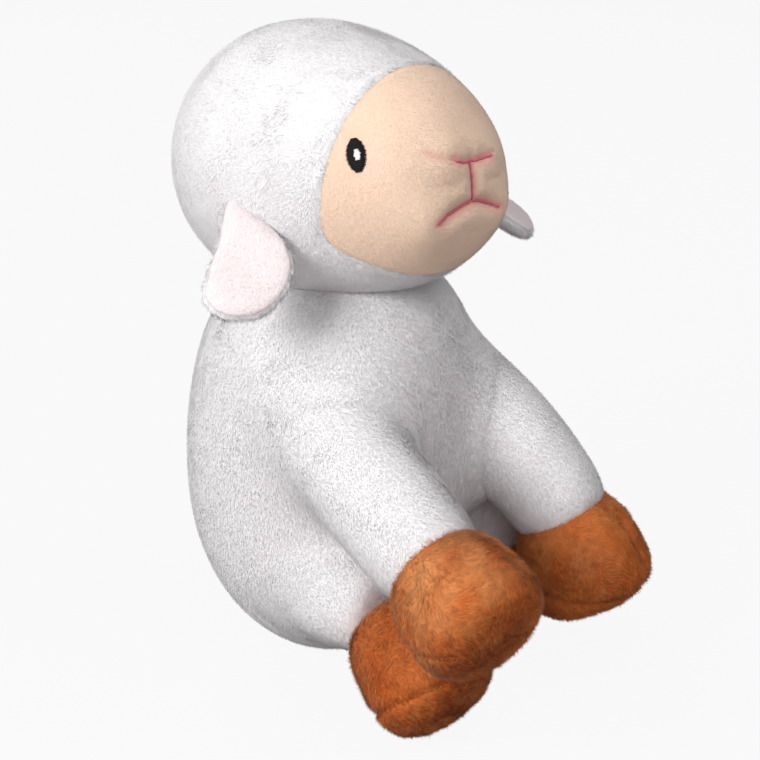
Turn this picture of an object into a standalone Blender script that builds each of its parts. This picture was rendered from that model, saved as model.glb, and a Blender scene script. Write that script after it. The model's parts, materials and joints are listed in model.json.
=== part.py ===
"""A plush sheep that sits: a stuffed torso, head, ears, four legs with brown hooves, and a tail.

The sheep faces -Y, +Z is up, and the origin is the middle of its flat seat.
Lengths are in metres. A table of shares gives each form's sections, from one end to the other.
"""
import math

import bmesh
import bpy
from mathutils import Euler, Matrix, Vector
from mathutils.bvhtree import BVHTree

# Cloth and clearances
cloth_thickness = 0.0022
seam_gap = 0.0003
turn_gap = 0.0004
plane_gap = 0.00006
stand_cut = 0.0005
cut_overrun = 0.03

# Torso
torso_height = 0.122
torso_half_width = 0.0420
torso_half_depth = 0.0420
torso_sides = 10
torso_section_shares = (
    # height, half width, half depth, lean to the back
    (0.00, 0.30, 0.30, -0.04),
    (0.00, 0.46, 0.46, -0.04),
    (0.09, 0.76, 0.76, -0.02),
    (0.26, 0.99, 0.99, 0.02),
    (0.45, 1.03, 1.03, 0.03),
    (0.65, 1.02, 1.02, -0.02),
    (0.82, 0.94, 0.95, -0.08),
    (0.94, 0.76, 0.78, -0.10),
    (1.00, 0.50, 0.52, -0.10),
)

# Seat panel and pellet bag
seat_half_width = 0.018
seat_half_depth = 0.018
seat_sides = 32
pellet_bag_height = 0.018
pellet_bag_half_width = 0.018
pellet_bag_half_depth = 0.014
pellet_bag_back = 0.005

# Head, measured about the middle of its round back
head_center_height = 0.148
head_center_back = 0.006
head_yaw = -3
head_back_length = 0.0355
head_snout_length = 0.060
head_half_width = 0.0415
head_half_height = 0.0405
head_sides = 10
head_section_shares = (
    # place from back to snout, half width, top, bottom
    (0.00, 0.42, 0.42, -0.42),
    (0.07, 0.74, 0.74, -0.72),
    (0.22, 0.97, 0.97, -0.95),
    (0.42, 1.03, 1.02, -1.02),
    (0.60, 0.93, 0.95, -0.96),
    (0.76, 0.77, 0.83, -0.80),
    (0.90, 0.64, 0.65, -0.64),
    (0.97, 0.50, 0.36, -0.50),
    (1.00, 0.26, 0.08, -0.32),
)

# Neck: the head tips about a level axis inside its underside
neck_height = 0.136
neck_back = 0.004
neck_hole_radius = 0.018
neck_hole_sides = 24
neck_ball_radius = 0.030
neck_ball_segments = 20
nod_down = 6
nod_up = 14

# Face panel: the front of the head, before an upright plane and above a sloping one
face_seam_forward = 0.034
face_seam_drop = 0.0135
face_seam_slope = 32
face_seam_lean = 6
face_corner_radius = 0.009
face_corner_points = 6

# Embroidered eyes, placed by their bearing from the middle of the head
thread_height = 0.0007
eye_bearing = 30.5
eye_elevation = 13
eye_half_width = 0.0027
eye_half_height = 0.0048
eye_tilt = -14
eye_sides = 20
glint_half_width = 0.0012
glint_half_height = 0.0016
glint_rise = 0.0005

# Embroidered nose and mouth, drawn as seen from the front
stitch_radius = 0.0007
stitch_bevel_resolution = 1
nose_height = 0.0080
nose_half_width = {"right": 0.0078, "left": 0.0085}
nose_end_rise = {"right": 0.0024, "left": 0.0008}
mouth_height = -0.0025
mouth_half_width = {"right": 0.0148, "left": 0.0110}
mouth_end_rise = {"right": -0.0040, "left": -0.0036}
line_points = 5

# Ears: an outer layer with a smaller lining let into its front
ear_length = 0.038
ear_half_width = 0.0118
ear_half_thickness = 0.0028
ear_sides = 6
ear_section_shares = (
    # place from root to tip, half width, half thickness, bulge to the front
    (-0.06, 0.16, 0.50, 0.00),
    (0.06, 0.34, 1.00, 0.05),
    (0.36, 0.80, 1.00, 0.24),
    (0.62, 1.02, 0.95, 0.16),
    (0.88, 0.90, 0.85, -0.06),
    (1.00, 0.42, 0.50, -0.10),
)
ear_rim = 0.0024
ear_lining_half_thickness = 0.0016
ear_lining_forward = 0.0020
ear_root_forward = {"right": 0.009, "left": 0.014}
ear_root_drop = 0.005
ear_root_sink = 0.0012
ear_root_ball = 0.0040
ear_droop = {"right": 50, "left": 55}
ear_turn = 52
ear_lift = 45

# Front legs
front_leg_length = 0.060
front_leg_radius = 0.0183
front_leg_sides = 8
front_leg_section_shares = (
    # place from shoulder to hoof seam, radius
    (-0.27, 0.40),
    (-0.18, 0.80),
    (0.00, 1.00),
    (0.20, 0.91),
    (0.55, 0.93),
    (0.88, 0.88),
    (1.00, 0.81),
)
front_hoof_length = 0.032
front_hoof_radius = 0.0190
shoulder_side = 0.027
shoulder_back = -0.016
shoulder_height = 0.084
front_leg_pitch = {"right": 26, "left": 40}
front_leg_splay = {"right": 12, "left": 10.5}
front_hoof_bend = {"right": 0, "left": 25}
front_sole_share = {"right": 0.90, "left": 0.70}
front_sole_tilt = {"right": 50, "left": 26}
front_leg_lift = {"right": 60, "left": 60}

# Hind legs
hind_leg_length = 0.035
hind_leg_radius = 0.0170
hind_leg_section_shares = (
    (-0.50, 0.40),
    (-0.33, 0.80),
    (0.00, 1.00),
    (0.40, 0.96),
    (0.80, 0.86),
    (1.00, 0.78),
)
hind_leg_sides = 8
hind_hoof_length = 0.035
hind_hoof_radius = 0.0185
hip_side = 0.0225
hip_back = -0.0125
hip_height = 0.0285
hind_leg_pitch = {"right": -4, "left": -5}
hind_leg_splay = {"right": 12, "left": 54}
hind_hoof_bend = {"right": 36, "left": 36}
hind_sole_share = {"right": 0.74, "left": 0.74}
hind_sole_tilt = {"right": 20, "left": 20}
hind_leg_spread = {"right": 30, "left": 20}

# Round joints in the stuffing
ball_segments = 16
turn_step = 15

# Hooves share one flared shape
hoof_sides = 8
hoof_section_shares = (
    # place from leg seam to sole, radius
    (0.00, 0.60),
    (0.10, 0.80),
    (0.32, 0.95),
    (0.58, 1.03),
    (0.78, 1.02),
    (0.92, 0.84),
    (1.00, 0.50),
)

# Tail
tail_length = 0.026
tail_radius = 0.0075
tail_sides = 6
tail_section_shares = (
    # place from root to tip, radius
    (-0.28, 0.40),
    (-0.16, 0.80),
    (0.00, 1.00),
    (0.30, 1.00),
    (0.60, 1.04),
    (0.85, 0.80),
    (1.00, 0.40),
)
tail_back = 0.038
tail_height = 0.034
tail_droop = 50
tail_lift = 40

form_levels = 1
sides_of_body = {"right": -1, "left": 1}


def clear_scene():
    for obj in list(bpy.data.objects):
        bpy.data.objects.remove(obj)


def new_collection(name):
    collection = bpy.data.collections.new(name)
    bpy.context.scene.collection.children.link(collection)
    return collection


def cloth_material(name, color, roughness):
    material = bpy.data.materials.new(name)
    material.use_nodes = True
    shader = material.node_tree.nodes["Principled BSDF"]
    shader.inputs["Base Color"].default_value = (*color, 1.0)
    shader.inputs["Roughness"].default_value = roughness
    shader.inputs["Metallic"].default_value = 0.0
    material.diffuse_color = (*color, 1.0)
    return material


def add_object(name, mesh, collection, material=None, parent=None):
    obj = bpy.data.objects.new(name, mesh)
    collection.objects.link(obj)
    if material:
        mesh.materials.clear()
        mesh.materials.append(material)
    obj.parent = parent
    return obj


def add_pivot(name, location, rotation=(0, 0, 0), parent=None):
    """An empty on a joint's axis; rotation in degrees."""
    pivot = bpy.data.objects.new(name, None)
    parts.objects.link(pivot)
    pivot.location = location
    pivot.rotation_euler = Euler([math.radians(angle) for angle in rotation])
    pivot.parent = parent
    bpy.context.view_layer.update()
    return pivot


def ring(center, across, upward, half_width, half_height, sides):
    """Points round an oval, set out so that the subdivided form keeps the named half sizes."""
    grow = 1 / math.cos(math.pi / sides)
    points = []
    for i in range(sides):
        angle = 2 * math.pi * i / sides
        points.append(center + across * (math.cos(angle) * half_width * grow)
                      + upward * (math.sin(angle) * half_height * grow))
    return points


def loft(name, rings):
    """A closed mesh through rings of points, with a flat face on each end."""
    shape = bmesh.new()
    loops = [[shape.verts.new(point) for point in points] for points in rings]
    count = len(loops[0])
    for first, second in zip(loops, loops[1:]):
        for i in range(count):
            j = (i + 1) % count
            shape.faces.new((first[i], first[j], second[j], second[i]))
    shape.faces.new(loops[0])
    shape.faces.new(loops[-1])
    bmesh.ops.recalc_face_normals(shape, faces=shape.faces)
    for face in shape.faces:
        face.smooth = True
    mesh = bpy.data.meshes.new(name)
    shape.to_mesh(mesh)
    shape.free()
    return mesh


def soften(obj, levels=form_levels):
    modifier = obj.modifiers.new("Soft form", "SUBSURF")
    modifier.levels = levels
    modifier.render_levels = levels


def cut(obj, cutter, operation="DIFFERENCE"):
    modifier = obj.modifiers.new(f"{operation.title()} {cutter.name}", "BOOLEAN")
    modifier.operation = operation
    modifier.solver = "EXACT"
    modifier.object = cutter


def cut_by_all(obj, cutter_list):
    for cutter in cutter_list:
        cut(obj, cutter)


def add_cutter(name, mesh, parent=None):
    cutter = add_object(name, mesh, cutters, parent=parent)
    cutter.hide_render = True
    cutter.display_type = "WIRE"
    return cutter


def box_mesh(name, low, high):
    shape = bmesh.new()
    bmesh.ops.create_cube(shape, size=1.0)
    low = Vector(low)
    high = Vector(high)
    bmesh.ops.scale(shape, vec=high - low, verts=shape.verts)
    bmesh.ops.translate(shape, vec=(low + high) / 2, verts=shape.verts)
    mesh = bpy.data.meshes.new(name)
    shape.to_mesh(mesh)
    shape.free()
    return mesh


def oval_mesh(name, half_width, half_depth, height, sides):
    """An upright oval plug that stands on z = 0."""
    shape = bmesh.new()
    bmesh.ops.create_cone(shape, cap_ends=True, segments=sides, radius1=1.0, radius2=1.0, depth=1.0)
    bmesh.ops.translate(shape, vec=(0, 0, 1 / 2), verts=shape.verts)
    bmesh.ops.scale(shape, vec=(half_width, half_depth, height), verts=shape.verts)
    mesh = bpy.data.meshes.new(name)
    shape.to_mesh(mesh)
    shape.free()
    return mesh


def prism_mesh(name, outline, half_width):
    """An outline in the YZ plane, given width along X."""
    shape = bmesh.new()
    face = shape.faces.new([shape.verts.new((-half_width, y, z)) for y, z in outline])
    swept = bmesh.ops.extrude_face_region(shape, geom=[face])
    moved = [item for item in swept["geom"] if isinstance(item, bmesh.types.BMVert)]
    bmesh.ops.translate(shape, vec=(2 * half_width, 0, 0), verts=moved)
    bmesh.ops.recalc_face_normals(shape, faces=shape.faces)
    mesh = bpy.data.meshes.new(name)
    shape.to_mesh(mesh)
    shape.free()
    return mesh


def egg_mesh(name, half_sizes, segments, rings):
    shape = bmesh.new()
    bmesh.ops.create_uvsphere(shape, u_segments=segments, v_segments=rings, radius=1.0)
    bmesh.ops.scale(shape, vec=half_sizes, verts=shape.verts)
    mesh = bpy.data.meshes.new(name)
    shape.to_mesh(mesh)
    shape.free()
    return mesh


def torso_form(name, inset=0.0):
    """The torso drawn in by inset all round, or grown where inset is negative."""
    bottom = inset - stand_cut
    top = torso_height - inset
    rings = []
    for height, width, depth, lean in torso_section_shares:
        center = Vector((0, lean * torso_half_depth, bottom + height * (top - bottom)))
        rings.append(ring(center, Vector((1, 0, 0)), Vector((0, 1, 0)), width * (torso_half_width - inset),
                          depth * (torso_half_depth - inset), torso_sides))
    return loft(name, rings)


def head_form(name, inset=0.0):
    """The head about its own middle, drawn in by inset all round."""
    back = head_back_length - inset
    snout = -head_snout_length + inset
    rings = []
    for place, width, top, bottom in head_section_shares:
        half_height = head_half_height - inset
        center = Vector((0, back + place * (snout - back), half_height * (top + bottom) / 2))
        rings.append(ring(center, Vector((1, 0, 0)), Vector((0, 0, 1)), width * (head_half_width - inset),
                          half_height * (top - bottom) / 2, head_sides))
    return loft(name, rings)


def turned_form(name, section_shares, length, radius, sides, inset=0.0):
    """A tapered round form that runs from the origin along -Y."""
    rings = []
    for place, share in section_shares:
        center = Vector((0, -place * length, 0))
        rings.append(ring(center, Vector((1, 0, 0)), Vector((0, 0, 1)), share * (radius - inset),
                          share * (radius - inset), sides))
    return loft(name, rings)


def add_soft(name, mesh, material=None, parent=None):
    obj = add_object(name, mesh, parts, material, parent)
    soften(obj)
    return obj


def add_soft_cutter(name, mesh, parent=None):
    cutter = add_cutter(name, mesh, parent)
    soften(cutter)
    return cutter


def ball_and_socket(name, pivot, radius, segments):
    """A ball whose corners stay inside the named radius, and a socket whose flat facets stay outside it."""
    outer = (radius + seam_gap) / math.cos(math.pi / segments) ** 2
    pair = []
    for end, size in (("ball", radius), ("socket", outer)):
        cutter = add_cutter(f"{name}_{end}", egg_mesh(f"{name}_{end}", (size, size, size), segments,
                                                      segments // 2))
        cutter.matrix_world = pivot.matrix_world
        pair.append(cutter)
    return pair


def swept_room(name, form, placement, pivot, axis, lowest, highest, ball):
    """The room that a larger piece takes as a joint turns, seen from the piece that turns about it.

    Each outline is grown a little past the one before, so that no two have a face in one plane.
    """
    place = Matrix.Translation(pivot.matrix_world.translation)
    steps = math.ceil((highest - lowest) / turn_step)
    reach = None
    for i in range(steps + 1):
        angle = lowest + (highest - lowest) * i / steps
        outline = add_soft_cutter(f"{name}_{i}", form(f"{name}_{i}", -turn_gap - i * plane_gap))
        back_turn = Matrix.Rotation(math.radians(-angle), 4, axis)
        outline.matrix_world = place @ back_turn @ place.inverted() @ placement
        if reach:
            cut(reach, outline, "UNION")
        else:
            reach = outline
    cut(reach, ball)
    return reach


def face_outline(growth):
    """Side view of the space the face panel fills, about the middle of the head."""
    slope = math.radians(face_seam_slope)
    lean = math.radians(face_seam_lean)
    center_y = -face_seam_forward - face_corner_radius
    center_z = -face_seam_drop + face_corner_radius * (1 - math.sin(slope)) / math.cos(slope)
    radius = face_corner_radius + growth
    points = []
    for i in range(face_corner_points + 1):
        angle = lean + (slope - math.pi / 2 - lean) * i / face_corner_points
        points.append((center_y + radius * math.cos(angle), center_z + radius * math.sin(angle)))
    front = -head_snout_length - cut_overrun
    last_y, last_z = points[-1]
    points.append((front, last_z + (front - last_y) * math.tan(slope)))
    top = head_half_height + cut_overrun
    points.append((front, top))
    points.append((points[0][0] - (top - points[0][1]) * math.tan(lean), top))
    return points


def make_head(pivot):
    """Skin, face panel and filling of the head."""
    width = head_half_width + cut_overrun
    face = add_cutter("face_edge", prism_mesh("face_edge", face_outline(0.0), width), pivot)
    face_room = add_cutter("face_room", prism_mesh("face_room", face_outline(seam_gap), width), pivot)
    inside = add_soft_cutter("head_inside", head_form("head_inside", cloth_thickness), pivot)
    neck_hole = add_cutter("neck_hole", oval_mesh("neck_hole", neck_hole_radius, neck_hole_radius,
                                                  head_half_height, neck_hole_sides), pivot)
    skin = add_soft("head_skin", head_form("head_skin"), white_plush, pivot)
    panel = add_soft("face_panel", head_form("face_panel"), face_plush, pivot)
    filling = add_soft("head_filling", head_form("head_filling", cloth_thickness + seam_gap), fibre, pivot)
    for obj in (face, face_room, inside, skin, panel, filling):
        obj.location = head_middle
    neck_hole.location = head_middle + Vector((0, 0, -head_half_height - cut_overrun))
    cut_by_all(skin, (inside, face_room, neck_hole))
    cut(panel, face, "INTERSECT")
    cut(panel, inside)
    return skin, filling


def head_surface(growth):
    """A tree of the grown head's faces, about the middle of the head."""
    form = add_soft_cutter("head_measure", head_form("head_measure", -growth))
    tree = BVHTree.FromObject(form, bpy.context.evaluated_depsgraph_get())
    bpy.data.objects.remove(form)
    return tree


def make_eye(side, pivot, surface):
    """A black oval and its white glint, each a layer of thread cut from the head's own outline."""
    sign = sides_of_body[side]
    bearing = math.radians(eye_bearing)
    elevation = math.radians(eye_elevation)
    aim = Vector((sign * math.sin(bearing) * math.cos(elevation),
                  -math.cos(bearing) * math.cos(elevation), math.sin(elevation)))
    spot, normal = surface.ray_cast(Vector((0, 0, 0)), aim)[:2]
    layers = (
        (f"eye_{side}", eye_half_width, eye_half_height, 0.0, seam_gap, black_thread),
        (f"eye_glint_{side}", glint_half_width, glint_half_height, glint_rise,
         2 * seam_gap + thread_height, white_thread),
    )
    for name, half_width, half_height, rise, base, thread in layers:
        obj = add_object(name, oval_mesh(name, half_width, half_height, head_half_height, eye_sides),
                         parts, thread, pivot)
        turn = normal.to_track_quat("Z", "Y") @ Euler((0, 0, sign * math.radians(eye_tilt))).to_quaternion()
        obj.rotation_mode = "QUATERNION"
        obj.rotation_quaternion = turn
        middle_of_oval = turn @ Vector((0, rise, -head_half_height / 2))
        obj.location = head_middle + spot + middle_of_oval
        top = add_soft_cutter(f"{name}_top", head_form(f"{name}_top", -base - thread_height), pivot)
        bottom = add_soft_cutter(f"{name}_bottom", head_form(f"{name}_bottom", -base), pivot)
        top.location = head_middle
        bottom.location = head_middle
        cut(obj, top, "INTERSECT")
        cut(obj, bottom)


def make_stitch(name, drawn, pivot, surface):
    """A thread laid on the face along a line of (x, z) points seen from the front."""
    curve = bpy.data.curves.new(name, "CURVE")
    curve.dimensions = "3D"
    curve.bevel_depth = stitch_radius
    curve.bevel_resolution = stitch_bevel_resolution
    curve.use_fill_caps = True
    line = curve.splines.new("POLY")
    line.points.add(len(drawn) - 1)
    front = -head_snout_length - cut_overrun
    for point, (x, z) in zip(line.points, drawn):
        spot, normal = surface.ray_cast(Vector((x, front, z)), Vector((0, 1, 0)))[:2]
        point.co = (*(spot + normal * (stitch_radius + seam_gap)), 1.0)
    obj = add_object(name, curve, parts, pink_thread, pivot)
    obj.location = head_middle


def bend_line(half_width, height, end_rise):
    """Points across the face, from its right end to its left, whose ends lie end_rise above the middle."""
    points = []
    for i in range(-line_points, line_points + 1):
        side = "left" if i > 0 else "right"
        share = i / line_points
        points.append((share * half_width[side], height + end_rise[side] * abs(share)))
    return points


def make_face(pivot):
    surface = head_surface(0.0)
    for side in sides_of_body:
        make_eye(side, pivot, surface)
    make_stitch("nose_stitch", bend_line(nose_half_width, nose_height, nose_end_rise), pivot, surface)
    lip_top = nose_height - 2 * stitch_radius - seam_gap
    lip_bottom = mouth_height + 2 * stitch_radius + seam_gap
    lip = [(0.0, lip_top + (lip_bottom - lip_top) * i / line_points) for i in range(line_points + 1)]
    make_stitch("lip_stitch", lip, pivot, surface)
    make_stitch("mouth_stitch", bend_line(mouth_half_width, mouth_height, mouth_end_rise), pivot, surface)


def ear_form(name, inset=0.0, half_thickness=ear_half_thickness):
    """A flat leaf that hangs along -Z, with its width along Y."""
    rings = []
    for place, width, thickness, bulge in ear_section_shares:
        center = Vector((0, -bulge * ear_half_width, -inset - place * (ear_length - 2 * inset)))
        rings.append(ring(center, Vector((0, 1, 0)), Vector((1, 0, 0)), width * (ear_half_width - inset),
                          thickness * half_thickness, ear_sides))
    return loft(name, rings)


def make_ear(side, head_pivot, head_pieces, surface):
    """Outer layer and lining of an ear, about the fold where it is sewn in."""
    sign = sides_of_body[side]
    outside = sign * (head_half_width + cut_overrun)
    spot = surface.ray_cast(Vector((outside, -ear_root_forward[side], -ear_root_drop)), Vector((-sign, 0, 0)))[0]
    place = head_middle + spot - Vector((sign * ear_root_sink, 0, 0))
    pivot = add_pivot(f"ear_{side}_pivot", place, (0, -sign * ear_droop[side], -sign * ear_turn), head_pivot)
    ear = add_soft(f"ear_{side}", ear_form(f"ear_{side}"), white_plush, pivot)
    lining = add_soft(f"ear_lining_{side}", ear_form(f"ear_lining_{side}", ear_rim, ear_lining_half_thickness),
                      pink_plush, pivot)
    lining_room = add_soft_cutter(f"ear_lining_room_{side}", ear_form(
        f"ear_lining_room_{side}", ear_rim - seam_gap, ear_lining_half_thickness + seam_gap), pivot)
    for obj in (lining, lining_room):
        obj.location.x = sign * ear_lining_forward
    ball, socket = ball_and_socket(f"ear_root_{side}", pivot, ear_root_ball, ball_segments)
    lift_axis = -sign * pivot.matrix_world.to_3x3().col[1]
    head_placement = head_pivot.matrix_world @ Matrix.Translation(head_middle)
    room = swept_room(f"head_at_ear_{side}", head_form, head_placement, pivot, lift_axis, 0, ear_lift, ball)
    cut(ear, lining_room)
    cut(ear, room)
    cut(lining, room)
    for piece in head_pieces:
        cut(piece, socket)


def make_leg(kind, side, sizes):
    """White leg, brown hoof and its sole, about the shoulder or hip pivot."""
    sign = sides_of_body[side]
    rotation = (sizes["pitch"][side], 0, sign * sizes["splay"][side])
    location = (sign * sizes["side"], sizes["back"], sizes["height"])
    pivot = add_pivot(f"{kind}_leg_{side}_pivot", location, rotation)
    leg = add_soft(f"{kind}_leg_{side}", turned_form(
        f"{kind}_leg_{side}", sizes["sections"], sizes["length"], sizes["radius"], sizes["sides"]),
        white_plush, pivot)
    seam = add_pivot(f"{kind}_hoof_{side}_seam", (0, -sizes["length"], 0), (sizes["bend"][side], 0, 0), pivot)
    hoof_name = f"{kind}_hoof_{side}"
    sole_name = f"{kind}_sole_{side}"
    hoof = add_soft(hoof_name, turned_form(hoof_name, hoof_section_shares, sizes["hoof_length"],
                                           sizes["hoof_radius"], hoof_sides), brown_plush, seam)
    sole = add_soft(sole_name, turned_form(sole_name, hoof_section_shares, sizes["hoof_length"],
                                           sizes["hoof_radius"], hoof_sides), brown_plush, seam)
    reach = sizes["hoof_length"] + cut_overrun
    behind = add_cutter(f"{sole_name}_beyond", box_mesh(f"{sole_name}_beyond", (-reach, -reach, -reach),
                                                        (reach, 0, reach)), seam)
    before = add_cutter(f"{hoof_name}_before", box_mesh(f"{hoof_name}_before", (-reach, seam_gap, -reach),
                                                        (reach, reach, reach)), seam)
    for cutter in (behind, before):
        cutter.location = (0, -sizes["sole_share"][side] * sizes["hoof_length"], 0)
        cutter.rotation_euler.x = math.radians(sizes["sole_tilt"][side])
    cut(hoof, before, "INTERSECT")
    cut(sole, behind, "INTERSECT")
    grown = turned_form(f"{hoof_name}_room", hoof_section_shares, sizes["hoof_length"],
                        sizes["hoof_radius"], hoof_sides, -seam_gap)
    room = add_soft_cutter(f"{hoof_name}_room", grown, seam)
    room.location = (0, seam_gap, 0)
    cut(leg, room)
    return leg, pivot


def make_tail():
    pivot = add_pivot("tail_pivot", (0, tail_back, tail_height), (tail_droop, 0, 180))
    tail = add_soft("tail", turned_form("tail", tail_section_shares, tail_length, tail_radius, tail_sides),
                    white_plush, pivot)
    return tail, pivot


def make_torso(cutter_list):
    """Skin, seat panel, pellet bag and filling of the torso."""
    reach = torso_half_width + cut_overrun
    floor = add_cutter("floor_cut", box_mesh("floor_cut", (-reach, -reach, -cut_overrun), (reach, reach, 0)))
    bag_floor = cloth_thickness + seam_gap
    inner_floor = add_cutter("inner_floor_cut", box_mesh("inner_floor_cut", (-reach, -reach, -cut_overrun),
                                                         (reach, reach, bag_floor)))
    inside = add_soft_cutter("torso_inside", torso_form("torso_inside", cloth_thickness))
    seat_room = add_cutter("seat_room", oval_mesh("seat_room", seat_half_width + seam_gap,
                                                  seat_half_depth + seam_gap,
                                                  cloth_thickness + cut_overrun, seat_sides))
    seat_room.location.z = -cut_overrun / 2
    skin = add_soft("torso_skin", torso_form("torso_skin"), white_plush)
    cut_by_all(skin, (inside, floor, seat_room))
    cut_by_all(skin, cutter_list)

    seat = add_object("seat_panel", oval_mesh("seat_panel", seat_half_width, seat_half_depth,
                                              cloth_thickness, seat_sides), parts, white_plush)

    bag = add_soft("pellet_bag", loft("pellet_bag", pellet_bag_rings(0.0)), cotton)
    bag.location.z = bag_floor
    bag_room = add_soft_cutter("pellet_bag_room", loft("pellet_bag_room", pellet_bag_rings(seam_gap)))
    bag_room.location.z = bag_floor

    filling = add_soft("torso_filling", torso_form("torso_filling", cloth_thickness + seam_gap), fibre)
    cut_by_all(filling, (inner_floor, bag_room))
    cut_by_all(filling, cutter_list)


def pellet_bag_rings(growth):
    rings = []
    for place, share in ((0.0, 0.86), (0.25, 1.0), (0.7, 0.95), (1.0, 0.6)):
        center = Vector((0, pellet_bag_back, place * (pellet_bag_height + 2 * growth) - growth))
        rings.append(ring(center, Vector((1, 0, 0)), Vector((0, 1, 0)), share * pellet_bag_half_width + growth,
                          share * pellet_bag_half_depth + growth, torso_sides))
    return rings


clear_scene()
parts = new_collection("plush_sheep")
cutters = new_collection("cutters")
white_plush = cloth_material("white_plush", (0.90, 0.89, 0.88), 0.9)
face_plush = cloth_material("face_plush", (0.90, 0.68, 0.50), 0.9)
brown_plush = cloth_material("brown_plush", (0.50, 0.17, 0.04), 0.9)
pink_plush = cloth_material("pink_plush", (0.88, 0.74, 0.74), 0.9)
fibre = cloth_material("stuffing_fibre", (0.85, 0.85, 0.85), 1.0)
cotton = cloth_material("pellet_bag_cotton", (0.75, 0.72, 0.65), 0.95)
black_thread = cloth_material("black_thread", (0.01, 0.01, 0.01), 0.6)
white_thread = cloth_material("white_thread", (0.95, 0.95, 0.95), 0.6)
pink_thread = cloth_material("pink_thread", (0.55, 0.06, 0.12), 0.6)

front_sizes = {
    "length": front_leg_length, "radius": front_leg_radius, "sides": front_leg_sides,
    "sections": front_leg_section_shares, "hoof_length": front_hoof_length,
    "hoof_radius": front_hoof_radius, "side": shoulder_side, "back": shoulder_back,
    "height": shoulder_height, "pitch": front_leg_pitch, "splay": front_leg_splay,
    "bend": front_hoof_bend, "sole_share": front_sole_share, "sole_tilt": front_sole_tilt,
    "range": front_leg_lift,
}
hind_sizes = {
    "length": hind_leg_length, "radius": hind_leg_radius, "sides": hind_leg_sides,
    "sections": hind_leg_section_shares, "hoof_length": hind_hoof_length,
    "hoof_radius": hind_hoof_radius, "side": hip_side, "back": hip_back,
    "height": hip_height, "pitch": hind_leg_pitch, "splay": hind_leg_splay,
    "bend": hind_hoof_bend, "sole_share": hind_sole_share, "sole_tilt": hind_sole_tilt,
    "range": hind_leg_spread,
}

head_middle = Vector((0, head_center_back - neck_back, head_center_height - neck_height))
neck_pivot = add_pivot("neck_pivot", (0, neck_back, neck_height), (0, 0, head_yaw))
head_skin, head_filling = make_head(neck_pivot)
make_face(neck_pivot)
for side in sides_of_body:
    make_ear(side, neck_pivot, (head_skin, head_filling), head_surface(0.0))

neck_ball, neck_socket = ball_and_socket("neck", neck_pivot, neck_ball_radius, neck_ball_segments)
nod_axis = neck_pivot.matrix_world.to_3x3().col[0]
neck_room = swept_room("torso_at_neck", torso_form, Matrix(), neck_pivot, nod_axis, -nod_up, nod_down, neck_ball)
cut(head_skin, neck_room)
cut(head_filling, neck_room)
sockets = [neck_socket]

tail, tail_pivot = make_tail()
tail_ball, tail_socket = ball_and_socket("tail_root", tail_pivot, tail_radius + seam_gap, ball_segments)
cut(tail, swept_room("torso_at_tail", torso_form, Matrix(), tail_pivot, Vector((1, 0, 0)), 0, tail_lift, tail_ball))
sockets.append(tail_socket)

for side, sign in sides_of_body.items():
    for kind, sizes in (("front", front_sizes), ("hind", hind_sizes)):
        leg, pivot = make_leg(kind, side, sizes)
        ball, socket = ball_and_socket(f"{kind}_leg_{side}", pivot, sizes["radius"] + seam_gap, ball_segments)
        sockets.append(socket)
        if kind == "front":
            axis = -pivot.matrix_world.to_3x3().col[0]
        else:
            axis = Vector((0, 0, sign))
        cut(leg, swept_room(f"torso_at_{kind}_leg_{side}", torso_form, Matrix(), pivot, axis, 0,
                            sizes["range"][side], ball))
make_torso(sockets)
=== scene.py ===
import json
import math

import bpy
import numpy as np
from mathutils import Euler, Matrix, Vector
from mathutils.bvhtree import BVHTree


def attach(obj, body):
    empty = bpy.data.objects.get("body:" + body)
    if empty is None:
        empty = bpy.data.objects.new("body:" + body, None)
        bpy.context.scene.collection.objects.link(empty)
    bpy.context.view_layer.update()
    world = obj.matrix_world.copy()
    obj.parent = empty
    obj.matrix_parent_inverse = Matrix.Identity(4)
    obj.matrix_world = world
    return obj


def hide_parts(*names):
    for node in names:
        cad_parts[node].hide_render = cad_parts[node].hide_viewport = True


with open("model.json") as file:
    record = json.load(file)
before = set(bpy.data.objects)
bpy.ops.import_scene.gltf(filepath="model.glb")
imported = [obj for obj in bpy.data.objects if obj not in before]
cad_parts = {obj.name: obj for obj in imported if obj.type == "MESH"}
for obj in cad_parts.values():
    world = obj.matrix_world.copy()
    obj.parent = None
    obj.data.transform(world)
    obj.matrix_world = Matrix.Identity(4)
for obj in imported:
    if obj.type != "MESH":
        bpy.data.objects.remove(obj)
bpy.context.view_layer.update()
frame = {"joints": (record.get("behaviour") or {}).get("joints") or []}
joints = {joint["name"]: joint for joint in frame["joints"]}
sides = {"right": -1, "left": 1}  # the sheep's own right is towards -X
millimetre = 0.001
farOff = 1.0  # a distance well past every seam and stitch

# Camera, floor and lights

view = {
    "target": (0.0096, -0.0115, 0.0815),
    "azimuth": -50,
    "elevation": 20,
    "distance": 0.50,
    "lens": 78.95,
    "clipStart": 0.01,
}
studio = {
    "floorSize": 8.0,
    "floorColour": (0.40, 0.39, 0.40),
    "floorRoughness": 0.9,
    "whiteShare": 0.92,  # share of plain white that the camera sees in the floor and behind it
    "keyPlace": (-1.25, 0.10, 0.80),
    "keySize": 0.7,
    "keyPower": 17.2,
    "fillPlace": (-0.80, -1.10, 0.62),
    "fillSize": 1.2,
    "fillPower": 4.0,
    "topPlace": (0.15, -0.60, 1.10),
    "topSize": 0.8,
    "topPower": 4.6,
    "backPlace": (0.55, 1.25, 0.75),
    "backSize": 1.0,
    "backPower": 5.0,
    "skyStrength": 0.18,
    "skyColour": (1.0, 0.955, 0.975),
}


def deselectAll():
    bpy.ops.object.select_all(action="DESELECT")


def pickOnly(obj):
    deselectAll()
    obj.select_set(True)
    bpy.context.view_layer.objects.active = obj


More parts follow.
